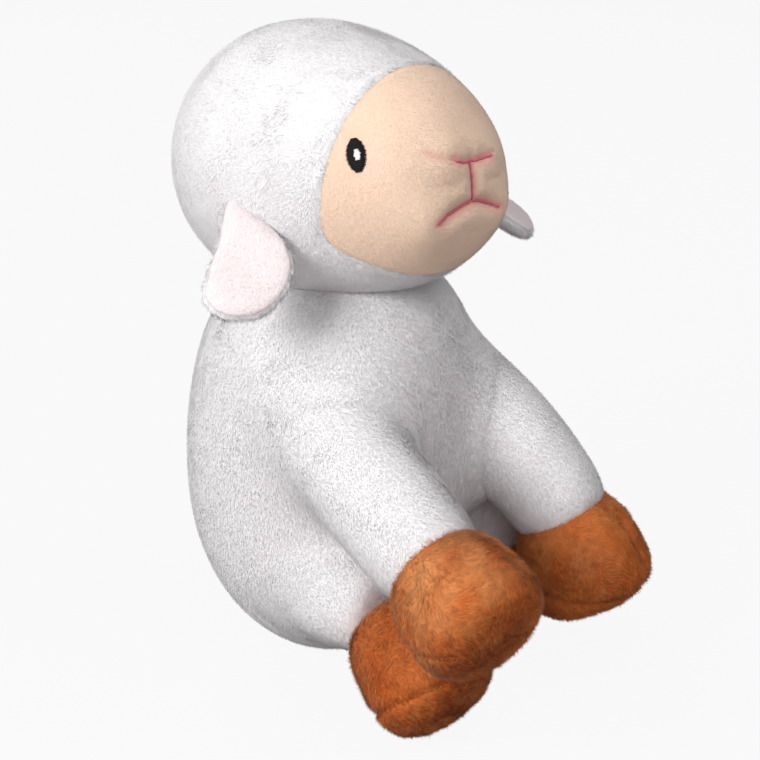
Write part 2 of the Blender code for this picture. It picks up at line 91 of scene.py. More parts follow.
def opaque(colour):
    return (*colour, 1)


def feed(tree, node, inputs):
    # inputs: for each socket a number or colour, or the socket that is linked to it
    for key, value in inputs.items():
        if isinstance(value, bpy.types.NodeSocket):
            tree.links.new(value, node.inputs[key])
        else:
            node.inputs[key].default_value = value
    return node


def addNode(tree, kind, inputs=None, **settings):
    node = tree.nodes.new(kind)
    for key, value in settings.items():
        setattr(node, key, value)
    return feed(tree, node, inputs or {})


def product(tree, first, second):
    return addNode(tree, "ShaderNodeMath", {0: first, 1: second}, operation="MULTIPLY").outputs[0]


def mixColour(tree, factor, first, second):
    inputs = {"Factor": factor, "A": first, "B": second}
    return addNode(tree, "ShaderNodeMix", inputs, data_type="RGBA").outputs["Result"]


def newMaterial(name):
    material = bpy.data.materials.new(name)
    material.use_nodes = True
    return material, material.node_tree, material.node_tree.nodes["Principled BSDF"]


def whitenForCamera(tree, real, plain, output, share):
    # the camera sees this share of the plain shader, and light meets the real one
    path = addNode(tree, "ShaderNodeLightPath")
    part = product(tree, path.outputs["Is Camera Ray"], share)
    mix = addNode(tree, "ShaderNodeMixShader", {0: part, 1: real.outputs[0], 2: plain.outputs[0]})
    feed(tree, output, {"Surface": mix.outputs[0]})


def addLight(name, place, size, power):
    bpy.ops.object.light_add(type="AREA", location=place)
    lamp = bpy.context.active_object
    lamp.name = name
    lamp.data.size = size
    lamp.data.energy = power
    aim = Vector(view["target"]) - Vector(place)
    lamp.rotation_euler = aim.to_track_quat("-Z", "Y").to_euler()


def addCamera():
    azimuth = math.radians(view["azimuth"])
    elevation = math.radians(view["elevation"])
    back = Vector((math.sin(azimuth) * math.cos(elevation), -math.cos(azimuth) * math.cos(elevation),
                   math.sin(elevation)))
    bpy.ops.object.camera_add(location=Vector(view["target"]) + back * view["distance"],
                              rotation=(math.pi / 2 - elevation, 0, azimuth))
    camera = bpy.context.active_object
    camera.data.lens = view["lens"]
    camera.data.clip_start = view["clipStart"]
    bpy.context.scene.camera = camera


def addFloor():
    bpy.ops.mesh.primitive_plane_add(size=studio["floorSize"], location=(0, 0, 0))
    floor = bpy.context.active_object
    floor.name = "floor"
    material, tree, shader = newMaterial("pale floor")
    feed(tree, shader, {"Base Color": opaque(studio["floorColour"]), "Roughness": studio["floorRoughness"]})
    white = addNode(tree, "ShaderNodeEmission")
    whitenForCamera(tree, shader, white, tree.nodes["Material Output"], studio["whiteShare"])
    floor.data.materials.append(material)


def setSky():
    world = bpy.data.worlds.new("studio")
    bpy.context.scene.world = world
    world.use_nodes = True
    tree = world.node_tree
    sky = feed(tree, tree.nodes["Background"],
               {"Color": opaque(studio["skyColour"]), "Strength": studio["skyStrength"]})
    white = addNode(tree, "ShaderNodeBackground", {"Color": (1, 1, 1, 1), "Strength": studio["whiteShare"]})
    whitenForCamera(tree, sky, white, tree.nodes["World Output"], 1)


deselectAll()
addCamera()
addFloor()
for lamp in ("key", "fill", "top", "back"):
    addLight(f"{lamp} light", studio[f"{lamp}Place"], studio[f"{lamp}Size"], studio[f"{lamp}Power"])
setSky()
bpy.context.scene.view_settings.view_transform = "Standard"
print("studio set")

# Finishes

plushLook = {
    "patchDetail": 3,
    "grainDetail": 2,
    "patchRange": (0.38, 0.64),  # stretch of the broad noise over which the pile leans another way
    "tipRange": (0.42, 0.68),  # stretch of the fine noise over which a fibre's tip shows
    "brushedRange": (0.42, 0.60),
    "brushedLeast": 0.25,  # how much the tips still show where the pile is brushed flat
    "roughness": (0.72, 0.98),
    "bumpDepth": 0.4 * millimetre,
    "sheenRoughness": 0.45,
    "gloss": 0.15,
}


def makePileGroup():
    # broad patches where the pile leans another way, and the fine grain of its fibres
    group = bpy.data.node_groups.new("plush pile", "ShaderNodeTree")
    face = group.interface
    for name, start in (("Colour", (0.8, 0.8, 0.8, 1)), ("Deep Colour", (0.5, 0.5, 0.5, 1)),
                        ("Tip Colour", (1, 1, 1, 1))):
        face.new_socket(name, in_out="INPUT", socket_type="NodeSocketColor").default_value = start
    for name, start in (("Patch Scale", 60), ("Grain Scale", 1400), ("Patch Amount", 0.5),
                        ("Tip Amount", 0.4)):
        face.new_socket(name, in_out="INPUT", socket_type="NodeSocketFloat").default_value = start
    face.new_socket("Colour", in_out="OUTPUT", socket_type="NodeSocketColor")
    face.new_socket("Roughness", in_out="OUTPUT", socket_type="NodeSocketFloat")
    face.new_socket("Height", in_out="OUTPUT", socket_type="NodeSocketFloat")
    given = addNode(group, "NodeGroupInput").outputs
    where = addNode(group, "ShaderNodeTexCoord").outputs["Object"]

    def noise(scale, detail):
        inputs = {"Vector": where, "Scale": scale, "Detail": detail}
        return addNode(group, "ShaderNodeTexNoise", inputs).outputs

    def stretched(value, ends, low=0.0, high=1.0):
        inputs = {"Value": value, "From Min": ends[0], "From Max": ends[1], "To Min": low, "To Max": high}
        return addNode(group, "ShaderNodeMapRange", inputs).outputs["Result"]

    patch = noise(given["Patch Scale"], plushLook["patchDetail"])
    grain = noise(given["Grain Scale"], plushLook["grainDetail"])["Fac"]
    lean = stretched(patch["Fac"], plushLook["patchRange"], high=given["Patch Amount"])
    tip = stretched(grain, plushLook["tipRange"], high=given["Tip Amount"])
    green = addNode(group, "ShaderNodeSeparateColor", {"Color": patch["Color"]}).outputs["Green"]
    brushed = stretched(green, plushLook["brushedRange"], low=plushLook["brushedLeast"])
    colour = mixColour(group, lean, given["Colour"], given["Deep Colour"])
    addNode(group, "NodeGroupOutput", {
        "Colour": mixColour(group, product(group, tip, brushed), colour, given["Tip Colour"]),
        "Roughness": stretched(grain, (0.0, 1.0), *plushLook["roughness"]),
        "Height": grain,
    })
    return group


pileGroup = makePileGroup()


def makePlush(name, finish, tints=()):
    # tints: name of a point attribute and the colour that it brings in
    material, tree, shader = newMaterial(name)
    pile = addNode(tree, "ShaderNodeGroup", node_tree=pileGroup)
    feed(tree, pile, {
        "Colour": opaque(finish["colour"]), "Deep Colour": opaque(finish["deep"]),
        "Tip Colour": opaque(finish["tip"]), "Patch Scale": finish["patchScale"],
        "Grain Scale": finish["grainScale"], "Patch Amount": finish["patchAmount"],
        "Tip Amount": finish["tipAmount"],
    })

    def attribute(attributeName):
        return addNode(tree, "ShaderNodeAttribute", attribute_name=attributeName).outputs["Fac"]

    share = product(tree, attribute("fibreTone"), finish["fibreAmount"])
    colour = mixColour(tree, share, pile.outputs["Colour"], opaque(finish["tip"]))
    for attributeName, shade in tints:
        colour = mixColour(tree, attribute(attributeName), colour, opaque(shade))
    bump = addNode(tree, "ShaderNodeBump", {
        "Strength": finish["bump"], "Distance": plushLook["bumpDepth"], "Height": pile.outputs["Height"]})
    feed(tree, shader, {
        "Base Color": colour, "Roughness": pile.outputs["Roughness"], "Normal": bump.outputs["Normal"],
        "Sheen Weight": finish["sheen"], "Sheen Roughness": plushLook["sheenRoughness"],
        "Sheen Tint": opaque(finish["sheenTint"]), "Specular IOR Level": plushLook["gloss"],
    })
    return material


whiteFinish = {
    "colour": (0.89, 0.875, 0.88),
    "deep": (0.85, 0.83, 0.845),
    "tip": (0.95, 0.94, 0.945),
    "patchScale": 45, "grainScale": 1500, "patchAmount": 0.6, "tipAmount": 0.25, "fibreAmount": 0.3,
    "bump": 0.12, "sheen": 0.2, "sheenTint": (0.96, 0.95, 1.0),
}
faceFinish = {
    "colour": (0.92, 0.685, 0.515),
    "deep": (0.88, 0.625, 0.475),
    "tip": (0.94, 0.73, 0.57),
    "patchScale": 50, "grainScale": 1700, "patchAmount": 0.4, "tipAmount": 0.2, "fibreAmount": 0.2,
    "bump": 0.15, "sheen": 0.35, "sheenTint": (1.0, 0.95, 0.97),
    "blush": (0.74, 0.20, 0.22),
}
hoofFinish = {
    "colour": (0.63, 0.125, 0.018),
    "deep": (0.42, 0.060, 0.009),
    "tip": (0.80, 0.30, 0.08),
    "patchScale": 60, "grainScale": 650, "patchAmount": 0.9, "tipAmount": 0.6, "fibreAmount": 0.75,
    "bump": 0.3, "sheen": 0.14, "sheenTint": (1.0, 0.72, 0.60),
    # painted highlight: golden colour for the side of a hoof that faces the key lamp
    "paintedHighlight": (0.86, 0.42, 0.17),
}
liningFinish = {
    "colour": (0.90, 0.81, 0.81),
    "deep": (0.86, 0.74, 0.75),
    "tip": (0.93, 0.87, 0.87),
    "patchScale": 70, "grainScale": 2200, "patchAmount": 0.7, "tipAmount": 0.3, "fibreAmount": 0.2,
    "bump": 0.2, "sheen": 0.25, "sheenTint": (1.0, 0.95, 0.95),
}
whitePlush = makePlush("white plush", whiteFinish)
facePlush = makePlush("face plush", faceFinish, [("blush", faceFinish["blush"])])
# the hoof plush brings in the painted golden highlight where its point attribute says
hoofPlush = makePlush("hoof plush", hoofFinish, [("paintedHighlight", hoofFinish["paintedHighlight"])])
liningPlush = makePlush("ear lining plush", liningFinish)

threadLook = {
    "grainScale": 5200, "grainDetail": 1, "bump": 0.5, "bumpDepth": 0.1 * millimetre, "roughness": 0.55,
}


def makeThread(name, colour, dark, sheen, gloss):
    # fine light and dark specks of twisted thread
    material, tree, shader = newMaterial(name)
    where = addNode(tree, "ShaderNodeTexCoord").outputs["Object"]
    inputs = {"Vector": where, "Scale": threadLook["grainScale"], "Detail": threadLook["grainDetail"]}
    grain = addNode(tree, "ShaderNodeTexNoise", inputs).outputs["Fac"]
    bump = addNode(tree, "ShaderNodeBump", {
        "Strength": threadLook["bump"], "Distance": threadLook["bumpDepth"], "Height": grain})
    feed(tree, shader, {
        "Base Color": mixColour(tree, grain, opaque(dark), opaque(colour)), "Normal": bump.outputs["Normal"],
        "Roughness": threadLook["roughness"], "Specular IOR Level": gloss, "Sheen Weight": sheen,
    })
    return material


blackThread = makeThread("black thread", (0.014, 0.010, 0.010), (0.003, 0.002, 0.002), 0.02, 0.2)
whiteThread = makeThread("white thread", (0.93, 0.93, 0.95), (0.80, 0.80, 0.84), 0.1, 0.5)
pinkThread = makeThread("pink thread", (0.74, 0.19, 0.25), (0.50, 0.08, 0.14), 0.1, 0.5)
print("finishes made")

# Soft forms


def finishMesh(obj, material, smooth=True):
    obj.data.materials.clear()
    obj.data.materials.append(material)
    if smooth:
        obj.data.shade_smooth()


def applyModifier(obj, name, kind, **settings):
    pickOnly(obj)
    modifier = obj.modifiers.new(name, kind)
    for key, value in settings.items():
        setattr(modifier, key, value)
    bpy.ops.object.modifier_apply(modifier=modifier.name)


def ringForm(name, rings, placement=Matrix(), sideCount=12, roundness=3):
    # rings: height, half width, half depth, shift in depth; a round blank is pulled up from ring to ring
    deselectAll()
    grow = 1 / math.cos(math.pi / sideCount)
    bpy.ops.mesh.primitive_circle_add(vertices=sideCount, radius=1, fill_type="NGON", location=(0, 0, 0))
    form = bpy.context.active_object
    form.name = name
    bpy.ops.object.mode_set(mode="EDIT")
    bpy.ops.mesh.select_all(action="SELECT")
    height, width, depth, shift = rings[0]
    bpy.ops.transform.resize(value=(width * grow, depth * grow, 1), center_override=(0, 0, 0))
    bpy.ops.transform.translate(value=(0, shift, height))
    for (height, width, depth, shift), nextRing in zip(rings, rings[1:]):
        nextHeight, nextWidth, nextDepth, nextShift = nextRing
        bpy.ops.mesh.extrude_region_move()
        bpy.ops.transform.resize(value=(nextWidth / width, nextDepth / depth, 1),
                                 center_override=(0, shift, height))
        bpy.ops.transform.translate(value=(0, nextShift - shift, nextHeight - height))
    bpy.ops.mesh.select_all(action="SELECT")
    bpy.ops.mesh.normals_make_consistent(inside=False)
    bpy.ops.object.mode_set(mode="OBJECT")
    applyModifier(form, "Round", "SUBSURF", levels=roundness, render_levels=roundness)
    form.data.transform(placement)
    form.data.update()
    return form


def evenRings(sections, length, radius):
    return [(share * length, size * radius, size * radius, 0) for share, size in sections]


def joined(forms, name):
    pickOnly(forms[0])
    for form in forms[1:]:
        form.select_set(True)
    bpy.ops.object.join()
    forms[0].name = name
    return forms[0]


def readVectors(items, key):
    values = np.empty(len(items) * 3, np.float32)
    items.foreach_get(key, values)
    return values.reshape(-1, 3).astype(float)


def readPoints(mesh):
    return readVectors(mesh.vertices, "co")


def readNormals(mesh):
    return readVectors(mesh.vertex_normals, "vector")


def writePoints(mesh, points):
    mesh.vertices.foreach_set("co", points.astype(np.float32).ravel())
    mesh.update()


def writeAttribute(mesh, name, values, kind="FLOAT"):
    attribute = mesh.attributes.get(name) or mesh.attributes.new(name, kind, "POINT")
    key = "vector" if kind == "FLOAT_VECTOR" else "value"
    attribute.data.foreach_set(key, values.astype(np.float32).ravel())


def nearness(distance, width):
    # one on a line, and next to nothing past twice the width
    return np.exp(-(distance / width) ** 2)


stuffing = {
    "voxel": 3.0 * millimetre,
    "softness": 0.5,
    "smoothing": 6,
    "creaseSmoothing": 2,
    "frames": 20,
    "cap": 1.2 * millimetre,  # how far the pressed-out cloth may move
    "leastMove": 1e-9,
    "levels": 2,
    "room": 0.5 * millimetre,  # how far the cloth lies under the outside of its pile
    "reach": 0,  # how far the cloth is drawn out to meet a larger outline
    "beyond": 0,  # share of the reach by which cloth past it is still drawn out
    "under": 0,  # how far the drawn-out cloth stays under that outline
}
clothSettings = {
    "quality": 5,
    "mass": 0.15,
    "tension_stiffness": 15,
    "compression_stiffness": 15,
    "bending_stiffness": 0.8,
    "use_pressure": True,
    "uniform_pressure_force": 4.0,
}


def swell(form, tree, values):
    # moves the cloth out to just under a larger outline
    reach = values["reach"]
    points = readPoints(form.data)
    for number, normal in enumerate(readNormals(form.data)):
        spot, slope, face, distance = tree.ray_cast(Vector(points[number]), Vector(normal))
        if spot is None or slope.dot(Vector(normal)) < 0:
            continue
        if distance > reach:
            distance = reach * max(0, 1 - (1 - values["beyond"]) * (distance - reach) / reach)
        points[number] += normal * max(0, distance - values["under"])
    writePoints(form.data, points)


def pressOut(form, values):
    # pressure inside the cloth, and no gravity
    rest = readPoints(form.data)
    cloth = form.modifiers.new("Stuffing", "CLOTH")
    for key, value in clothSettings.items():
        setattr(cloth.settings, key, value)
    cloth.settings.effector_weights.gravity = 0
    cloth.collision_settings.use_collision = False
    for number in range(1, values["frames"] + 1):
        bpy.context.scene.frame_set(number)
    pressed = form.evaluated_get(bpy.context.evaluated_depsgraph_get())
    moved = readPoints(pressed.data) - rest
    form.modifiers.remove(cloth)
    bpy.context.scene.frame_set(1)
    length = np.linalg.norm(moved, axis=1, keepdims=True)
    moved *= np.minimum(1, values["cap"] / np.maximum(length, values["leastMove"]))
    writePoints(form.data, rest + moved)


def stuffForm(form, material, changes, outline=None):
    # even cloth over the form, then stuffing that presses it out, then a finer surface
    values = {**stuffing, **changes}
    applyModifier(form, "Even cloth", "REMESH", mode="VOXEL", voxel_size=values["voxel"],
                  use_smooth_shade=True)
    applyModifier(form, "Soft creases", "SMOOTH", factor=values["softness"], iterations=values["smoothing"])
    pressOut(form, values)
    if outline:
        swell(form, outline, values)
        applyModifier(form, "Even crease", "SMOOTH", factor=values["softness"],
                      iterations=values["creaseSmoothing"])
    applyModifier(form, "Room for pile", "DISPLACE", strength=-values["room"], mid_level=0)
    applyModifier(form, "Finer cloth", "SUBSURF", levels=values["levels"], render_levels=values["levels"])
    finishMesh(form, material)
    return form


def turned(degrees):
    return Euler([math.radians(angle) for angle in degrees]).to_matrix().to_4x4()


alongY = turned((90, 0, 0))  # a form made upright then runs forward, towards -Y


def toLocal(points, place):
    inverse = place.inverted()
    return points @ np.array(inverse.to_3x3()).T + np.array(inverse.translation)


def distanceToLine(points, line):
    # shortest distance from each point to a line through corner points
    best = np.full(len(points), np.inf)
    for start, end in zip(line, line[1:]):
        start = np.array(start)
        step = np.array(end) - start
        share = np.clip((points - start) @ step / (step @ step), 0, 1)
        best = np.minimum(best, np.linalg.norm(points - start - share[:, None] * step, axis=1))
    return best


def press(form, distance, depth, width):
    # pulls the cloth in along a seam
    points = readPoints(form.data)
    points -= readNormals(form.data) * (depth * nearness(distance, width))[:, None]
    writePoints(form.data, points)


waves = {"count": 8, "shortest": 0.7, "spread": 0.6}  # wave lengths as shares of the size asked for


def smoothNoise(points, size, seed):
    # a soft vector that changes over about this distance
    random = np.random.default_rng(seed)
    total = np.zeros_like(points)
    for wave in range(waves["count"]):
        direction = random.normal(size=3)
        length = size * (waves["shortest"] + waves["spread"] * random.random())
        direction *= 2 * math.pi / (length * np.linalg.norm(direction))
        phases = random.uniform(0, 2 * math.pi, 3)
        total += np.sin((points @ direction)[:, None] + phases)
    return total / (waves["count"] / 2)


def treeOf(obj):
    return BVHTree.FromObject(obj, bpy.context.evaluated_depsgraph_get())


def solidOf(obj):
    points = readPoints(obj.data)
    return {"tree": treeOf(obj), "low": points.min(0), "high": points.max(0)}


def depthInside(points, solid):
    # how deep each point lies inside a closed form, and below zero where it is outside
    depth = np.full(len(points), -farOff)
    low, high = solid["low"], solid["high"]
    for number in np.nonzero(np.all((points > low) & (points < high), axis=1))[0]:
        point = Vector(points[number])
        spot, normal, face, distance = solid["tree"].find_nearest(point)
        depth[number] = math.copysign(distance, (spot - point).dot(normal))
    return depth


# Pile

fibre = {
    "sides": 3,
    "shortest": 0.55,
    "longest": 1.15,
    "straySeed": 3,
    "heightSeed": 8,
    "toneSeed": 14,
    "mapMargin": 0.15,  # clear room at the sides of a fibre's cell of the map
}


def makePileGrower():
    # stands short tapering fibres all over a cloth, leaning along the way it is brushed
    group = bpy.data.node_groups.new("grow pile", "GeometryNodeTree")
    face = group.interface
    face.new_socket("Geometry", in_out="INPUT", socket_type="NodeSocketGeometry")
    for name in ("Density", "Length", "Width", "Unevenness"):
        face.new_socket(name, in_out="INPUT", socket_type="NodeSocketFloat")
    face.new_socket("Seed", in_out="INPUT", socket_type="NodeSocketInt")
    face.new_socket("Geometry", in_out="OUTPUT", socket_type="NodeSocketGeometry")
    given = addNode(group, "NodeGroupInput").outputs

    def attribute(name, kind):
        kept = addNode(group, "GeometryNodeInputNamedAttribute", {"Name": name}, data_type=kind)
        return kept.outputs["Attribute"]

    def randomNumber(seed, low=0.0, high=1.0):
        inputs = {2: low, 3: high, "Seed": seed}
        return addNode(group, "FunctionNodeRandomValue", inputs, data_type="FLOAT").outputs[1]

    scatter = addNode(group, "GeometryNodeDistributePointsOnFaces", {
        "Mesh": given["Geometry"], "Seed": given["Seed"],
        "Density": product(group, given["Density"], attribute("pileCover", "FLOAT"))})
    stray = addNode(group, "FunctionNodeRandomValue", {"Min": (-1, -1, -1), "Seed": fibre["straySeed"]},
                    data_type="FLOAT_VECTOR").outputs["Value"]
    uneven = addNode(group, "ShaderNodeVectorMath", {0: stray, "Scale": given["Unevenness"]},
                     operation="SCALE")
    lean = addNode(group, "ShaderNodeVectorMath",
                   {0: attribute("pileLay", "FLOAT_VECTOR"), 1: uneven.outputs[0]})
    turn = addNode(group, "FunctionNodeAlignRotationToVector", {"Vector": lean.outputs[0]}, axis="Z")
    cone = addNode(group, "GeometryNodeMeshCone", {
        "Vertices": fibre["sides"], "Side Segments": 1, "Radius Top": 0, "Radius Bottom": given["Width"],
        "Depth": given["Length"]}, fill_type="NONE")
    height = product(group, randomNumber(fibre["heightSeed"], fibre["shortest"], fibre["longest"]),
                     attribute("pileLength", "FLOAT"))
    size = addNode(group, "ShaderNodeCombineXYZ", {"X": 1, "Y": 1, "Z": height})
    tone = randomNumber(fibre["toneSeed"])
    keep = addNode(group, "GeometryNodeStoreNamedAttribute", {
        "Name": "fibreTone", "Value": product(group, tone, tone), "Geometry": scatter.outputs["Points"]},
        data_type="FLOAT", domain="POINT")
    stand = addNode(group, "GeometryNodeInstanceOnPoints", {
        "Points": keep.outputs["Geometry"], "Instance": cone.outputs["Mesh"],
        "Rotation": turn.outputs["Rotation"], "Scale": size.outputs["Vector"]})
    real = addNode(group, "GeometryNodeRealizeInstances", {"Geometry": stand.outputs["Instances"]})
    shade = addNode(group, "GeometryNodeSetMeshNormal", {"Mesh": real.outputs["Geometry"]},
                    mode="FREE", domain="POINT")
    feed(group, shade, {"Custom Normal": attribute("pileRoot", "FLOAT_VECTOR")})
    addNode(group, "NodeGroupOutput", {"Geometry": shade.outputs["Mesh"]})
    return group


pileGrower = makePileGrower()
whitePile = {
    "density": 4.6, "length": 1.15, "width": 0.09, "unevenness": 0.25, "upright": 0.55, "swirl": 0.4,
    "tuftSize": 6, "tuft": 0.2, "tuftShade": 0.05,
}
facePile = {
    "density": 6.0, "length": 0.55, "width": 0.06, "unevenness": 0.3, "upright": 0.8, "swirl": 0.2,
    "tuftSize": 8, "tuft": 0.1, "tuftShade": 0.03,
}
liningPile = {**facePile, "density": 5.0, "length": 0.5}
earPile = {**whitePile, "length": 1.4, "upright": 0.9, "unevenness": 0.35}
hoofPile = {
    "density": 5.5, "length": 2.0, "width": 0.11, "unevenness": 0.25, "upright": 0.6, "swirl": 0.8,
    "tuftSize": 4.2, "tuft": 0.55, "tuftShade": 0.3,
}
brushing = {
    "driftSize": 14 * millimetre,  # distance over which the lay of the pile drifts
    "tuftSeed": 500,
    "leastLean": 0.6,
    "hiddenDepth": 1.5 * millimetre,  # cloth that lies deeper in another form has no pile
    "foldDepth": 8 * millimetre,  # the same where a limb lifts away and shows the cloth under it
}


def mapFibres(mesh):
    # each fibre has its own small cell of the map, which its three sides share
    corners = np.empty(len(mesh.loops), np.int32)
    mesh.loops.foreach_get("vertex_index", corners)
    corners = corners.reshape(-1, 3)
    tip = np.bincount(corners[:fibre["sides"]].ravel()).argmax()
    atTip = corners % (fibre["sides"] + 1) == tip
    following = np.roll(atTip, 1, axis=1)
    near, far = fibre["mapMargin"], 1 - fibre["mapMargin"]
    foot = np.where(following[..., None], (near, near), (far, near))
    place = np.where(atTip[..., None], (0.5, far), foot)
    number = np.arange(len(corners)) // fibre["sides"]
    across = math.ceil(math.sqrt(len(corners) / fibre["sides"]))
    cell = np.stack((number % across, number // across), axis=1)[:, None, :]
    layer = mesh.uv_layers.new(name="OFBake")
    layer.uv.foreach_set("vector", ((cell + place) / across).astype(np.float32).ravel())


def growPile(name, skin, look, brushed, material, seed, covers=(), cover=None, shortness=None,
             hidden=brushing["hiddenDepth"]):
    # brushed: the way that the pile lies; covers: forms that hide a part of this cloth
    points = readPoints(skin.data)
    normals = readNormals(skin.data)
    along = np.tile(np.array(brushed, float), (len(points), 1)) if np.ndim(brushed) == 1 else brushed
    along = along + smoothNoise(points, brushing["driftSize"], seed) * look["swirl"]
    tufts = smoothNoise(points, look["tuftSize"] * millimetre, seed + brushing["tuftSeed"])
    along += tufts * look["tuft"]
    along -= normals * np.sum(along * normals, axis=1, keepdims=True)
    length = np.linalg.norm(along, axis=1, keepdims=True)
    along /= np.maximum(length, brushing["leastLean"])
    grown = np.ones(len(points)) if cover is None else cover.copy()
    for solid in covers:
        grown[depthInside(points, solid) > hidden] = 0
    deselectAll()
    mesh = skin.data.copy()
    pile = bpy.data.objects.new(name, mesh)
    bpy.context.scene.collection.objects.link(pile)
    writeAttribute(mesh, "pileCover", grown)
    writeAttribute(mesh, "pileLay", normals * look["upright"] + along, "FLOAT_VECTOR")
    writeAttribute(mesh, "pileRoot", normals + tufts * look["tuftShade"], "FLOAT_VECTOR")
    writeAttribute(mesh, "pileLength", np.ones(len(points)) if shortness is None else shortness)
    pickOnly(pile)
    modifier = pile.modifiers.new("Pile", "NODES")
    modifier.node_group = pileGrower
    values = {
        "Density": look["density"] / millimetre ** 2,
        "Length": look["length"] * millimetre,
        "Width": look["width"] * millimetre,
        "Unevenness": look["unevenness"],
        "Seed": seed,
    }
    for item in pileGrower.interface.items_tree:
        if item.name in values:
            modifier[item.identifier] = values[item.name]
    bpy.ops.object.modifier_apply(modifier=modifier.name)
    mapFibres(pile.data)
    finishMesh(pile, material)
    print(name, len(pile.data.polygons), "faces")
    return pile


# Torso

torso = {
    "height": 122 * millimetre,
    "halfWidth": 42 * millimetre,
    "halfDepth": 42 * millimetre,
    "standHeight": 0.5 * millimetre,
    "sections": (  # height, half width, half depth, lean to the back, as shares
        (0.00, 0.30, 0.30, -0.04), (0.00, 0.46, 0.46, -0.04), (0.09, 0.76, 0.76, -0.02),
        (0.26, 0.99, 0.99, 0.02), (0.45, 1.03, 1.03, 0.03), (0.65, 1.02, 1.02, -0.02),
        (0.82, 0.94, 0.95, -0.08), (0.94, 0.76, 0.78, -0.10), (1.00, 0.50, 0.52, -0.10),
    ),
    "outlineVoxel": 2.5 * millimetre,
    "outlineSmoothing": 110,
    "outlineSwell": 1.6 * millimetre,
    "cloth": {"levels": 1, "reach": 10 * millimetre, "beyond": 1},
    "seamDepth": 0.6 * millimetre,
    "seamWidth": 1.5 * millimetre,
    "seatBand": 4 * millimetre,  # height under which the seam of the seat panel lies
    "bareHeight": 1.2 * millimetre,  # no pile under this height, where the sheep sits
}
frontLeg = {
    "length": 60 * millimetre,
    "radius": 18.3 * millimetre,
    "sections": ((-0.27, 0.38), (-0.18, 0.74), (0.00, 0.95), (0.20, 0.91), (0.55, 0.93), (0.90, 0.88),
                 (1.03, 0.83), (1.15, 0.62)),
    "hoofLength": 32 * millimetre,
    "hoofRadius": 19 * millimetre,
    "pitch": {"right": 26, "left": 40},
    "splay": {"right": 12, "left": 10.5},
    "bend": {"right": 0, "left": 25},
    "soleShare": {"right": 0.90, "left": 0.70},
    "soleTilt": {"right": 50, "left": 26},
    "arch": {"right": 0, "left": 3.2 * millimetre},  # how far the middle of the leg is bowed up
    "fullness": {"right": 0, "left": 0.9 * millimetre},  # how much fuller the hoof is than the pattern
    "soleSeam": {"right": 0.35 * millimetre, "left": 1.0 * millimetre},
    "frontSeam": {"right": 0.0, "left": 0.9 * millimetre},
    # how strongly the painted highlight shows on each hoof
    "paintedHighlightAmount": {"right": 0.75, "left": 0.35},
    "joint": "shoulder_lift",
}
hindLeg = {
    "length": 35 * millimetre,
    "radius": 17 * millimetre,
    "sections": ((-0.50, 0.40), (-0.33, 0.80), (0.00, 1.00), (0.40, 0.96), (0.80, 0.86), (1.06, 0.74)),
    "hoofLength": 35 * millimetre,
    "hoofRadius": 18.5 * millimetre,
    "pitch": {"right": -4, "left": -5},
    "splay": {"right": 12, "left": 54},
    "bend": {"right": 36, "left": 36},
    "soleShare": {"right": 0.74, "left": 0.74},
    "soleTilt": {"right": 20, "left": 20},
    "arch": {"right": 0, "left": 0},
    "fullness": {"right": 0, "left": 0},
    "soleSeam": {"right": 0.9 * millimetre, "left": 0.9 * millimetre},
    "frontSeam": {"right": 0.3 * millimetre, "left": 0.7 * millimetre},
    # how strongly the painted highlight shows on each hoof
    "paintedHighlightAmount": {"right": 0.15, "left": 0.15},
    "joint": "hip_spread",
}
legs = {"front": frontLeg, "hind": hindLeg}
legCloth = {
    "voxel": 2.5 * millimetre, "smoothing": 2, "cap": 0.6 * millimetre, "levels": 1,
    "reach": 6 * millimetre, "under": 0.2 * millimetre,
}
seatPanel = {
    "radius": 18 * millimetre,
    "thickness": 1.6 * millimetre,
    "gap": 0.4 * millimetre,  # between the panel and its seam
    "sideCount": 64,
    "edge": 0.6 * millimetre,
    "edgeSegments": 3,
}


def jointPoint(name):
    return Vector(joints[name]["pos_m"])


def legPlacement(values, side):
    turn = turned((values["pitch"][side], 0, sides[side] * values["splay"][side]))
    return Matrix.Translation(jointPoint(f"{values['joint']}_{side}")) @ turn


def torsoRings():
    rings = []
    for share, width, depth, lean in torso["sections"]:
        rings.append((share * (torso["height"] + torso["standHeight"]) - torso["standHeight"],
                      width * torso["halfWidth"], depth * torso["halfDepth"], lean * torso["halfDepth"]))
    return rings


def legForm(kind, side, name):
    values = legs[kind]
    rings = []
    for share, size in values["sections"]:
        rings.append((share * values["length"], size * values["radius"], size * values["radius"],
                      values["arch"][side] * math.sin(math.pi * min(1, max(0, share)))))
    return ringForm(name, rings, legPlacement(values, side) @ alongY)


def sharedOutline():
    # torso and legs as one softened outline, which both are drawn out to where they meet
    forms = [ringForm("outline", torsoRings())]
    forms += [legForm(kind, side, "outline_leg") for kind in legs for side in sides]
    form = joined(forms, "outline")
    applyModifier(form, "One cloth", "REMESH", mode="VOXEL", voxel_size=torso["outlineVoxel"])
    applyModifier(form, "Soft folds", "SMOOTH", factor=stuffing["softness"],
                  iterations=torso["outlineSmoothing"])
    applyModifier(form, "Full folds", "DISPLACE", strength=torso["outlineSwell"], mid_level=0)
    tree = treeOf(form)
    bpy.data.objects.remove(form)
    return tree


bodyOutline = sharedOutline()


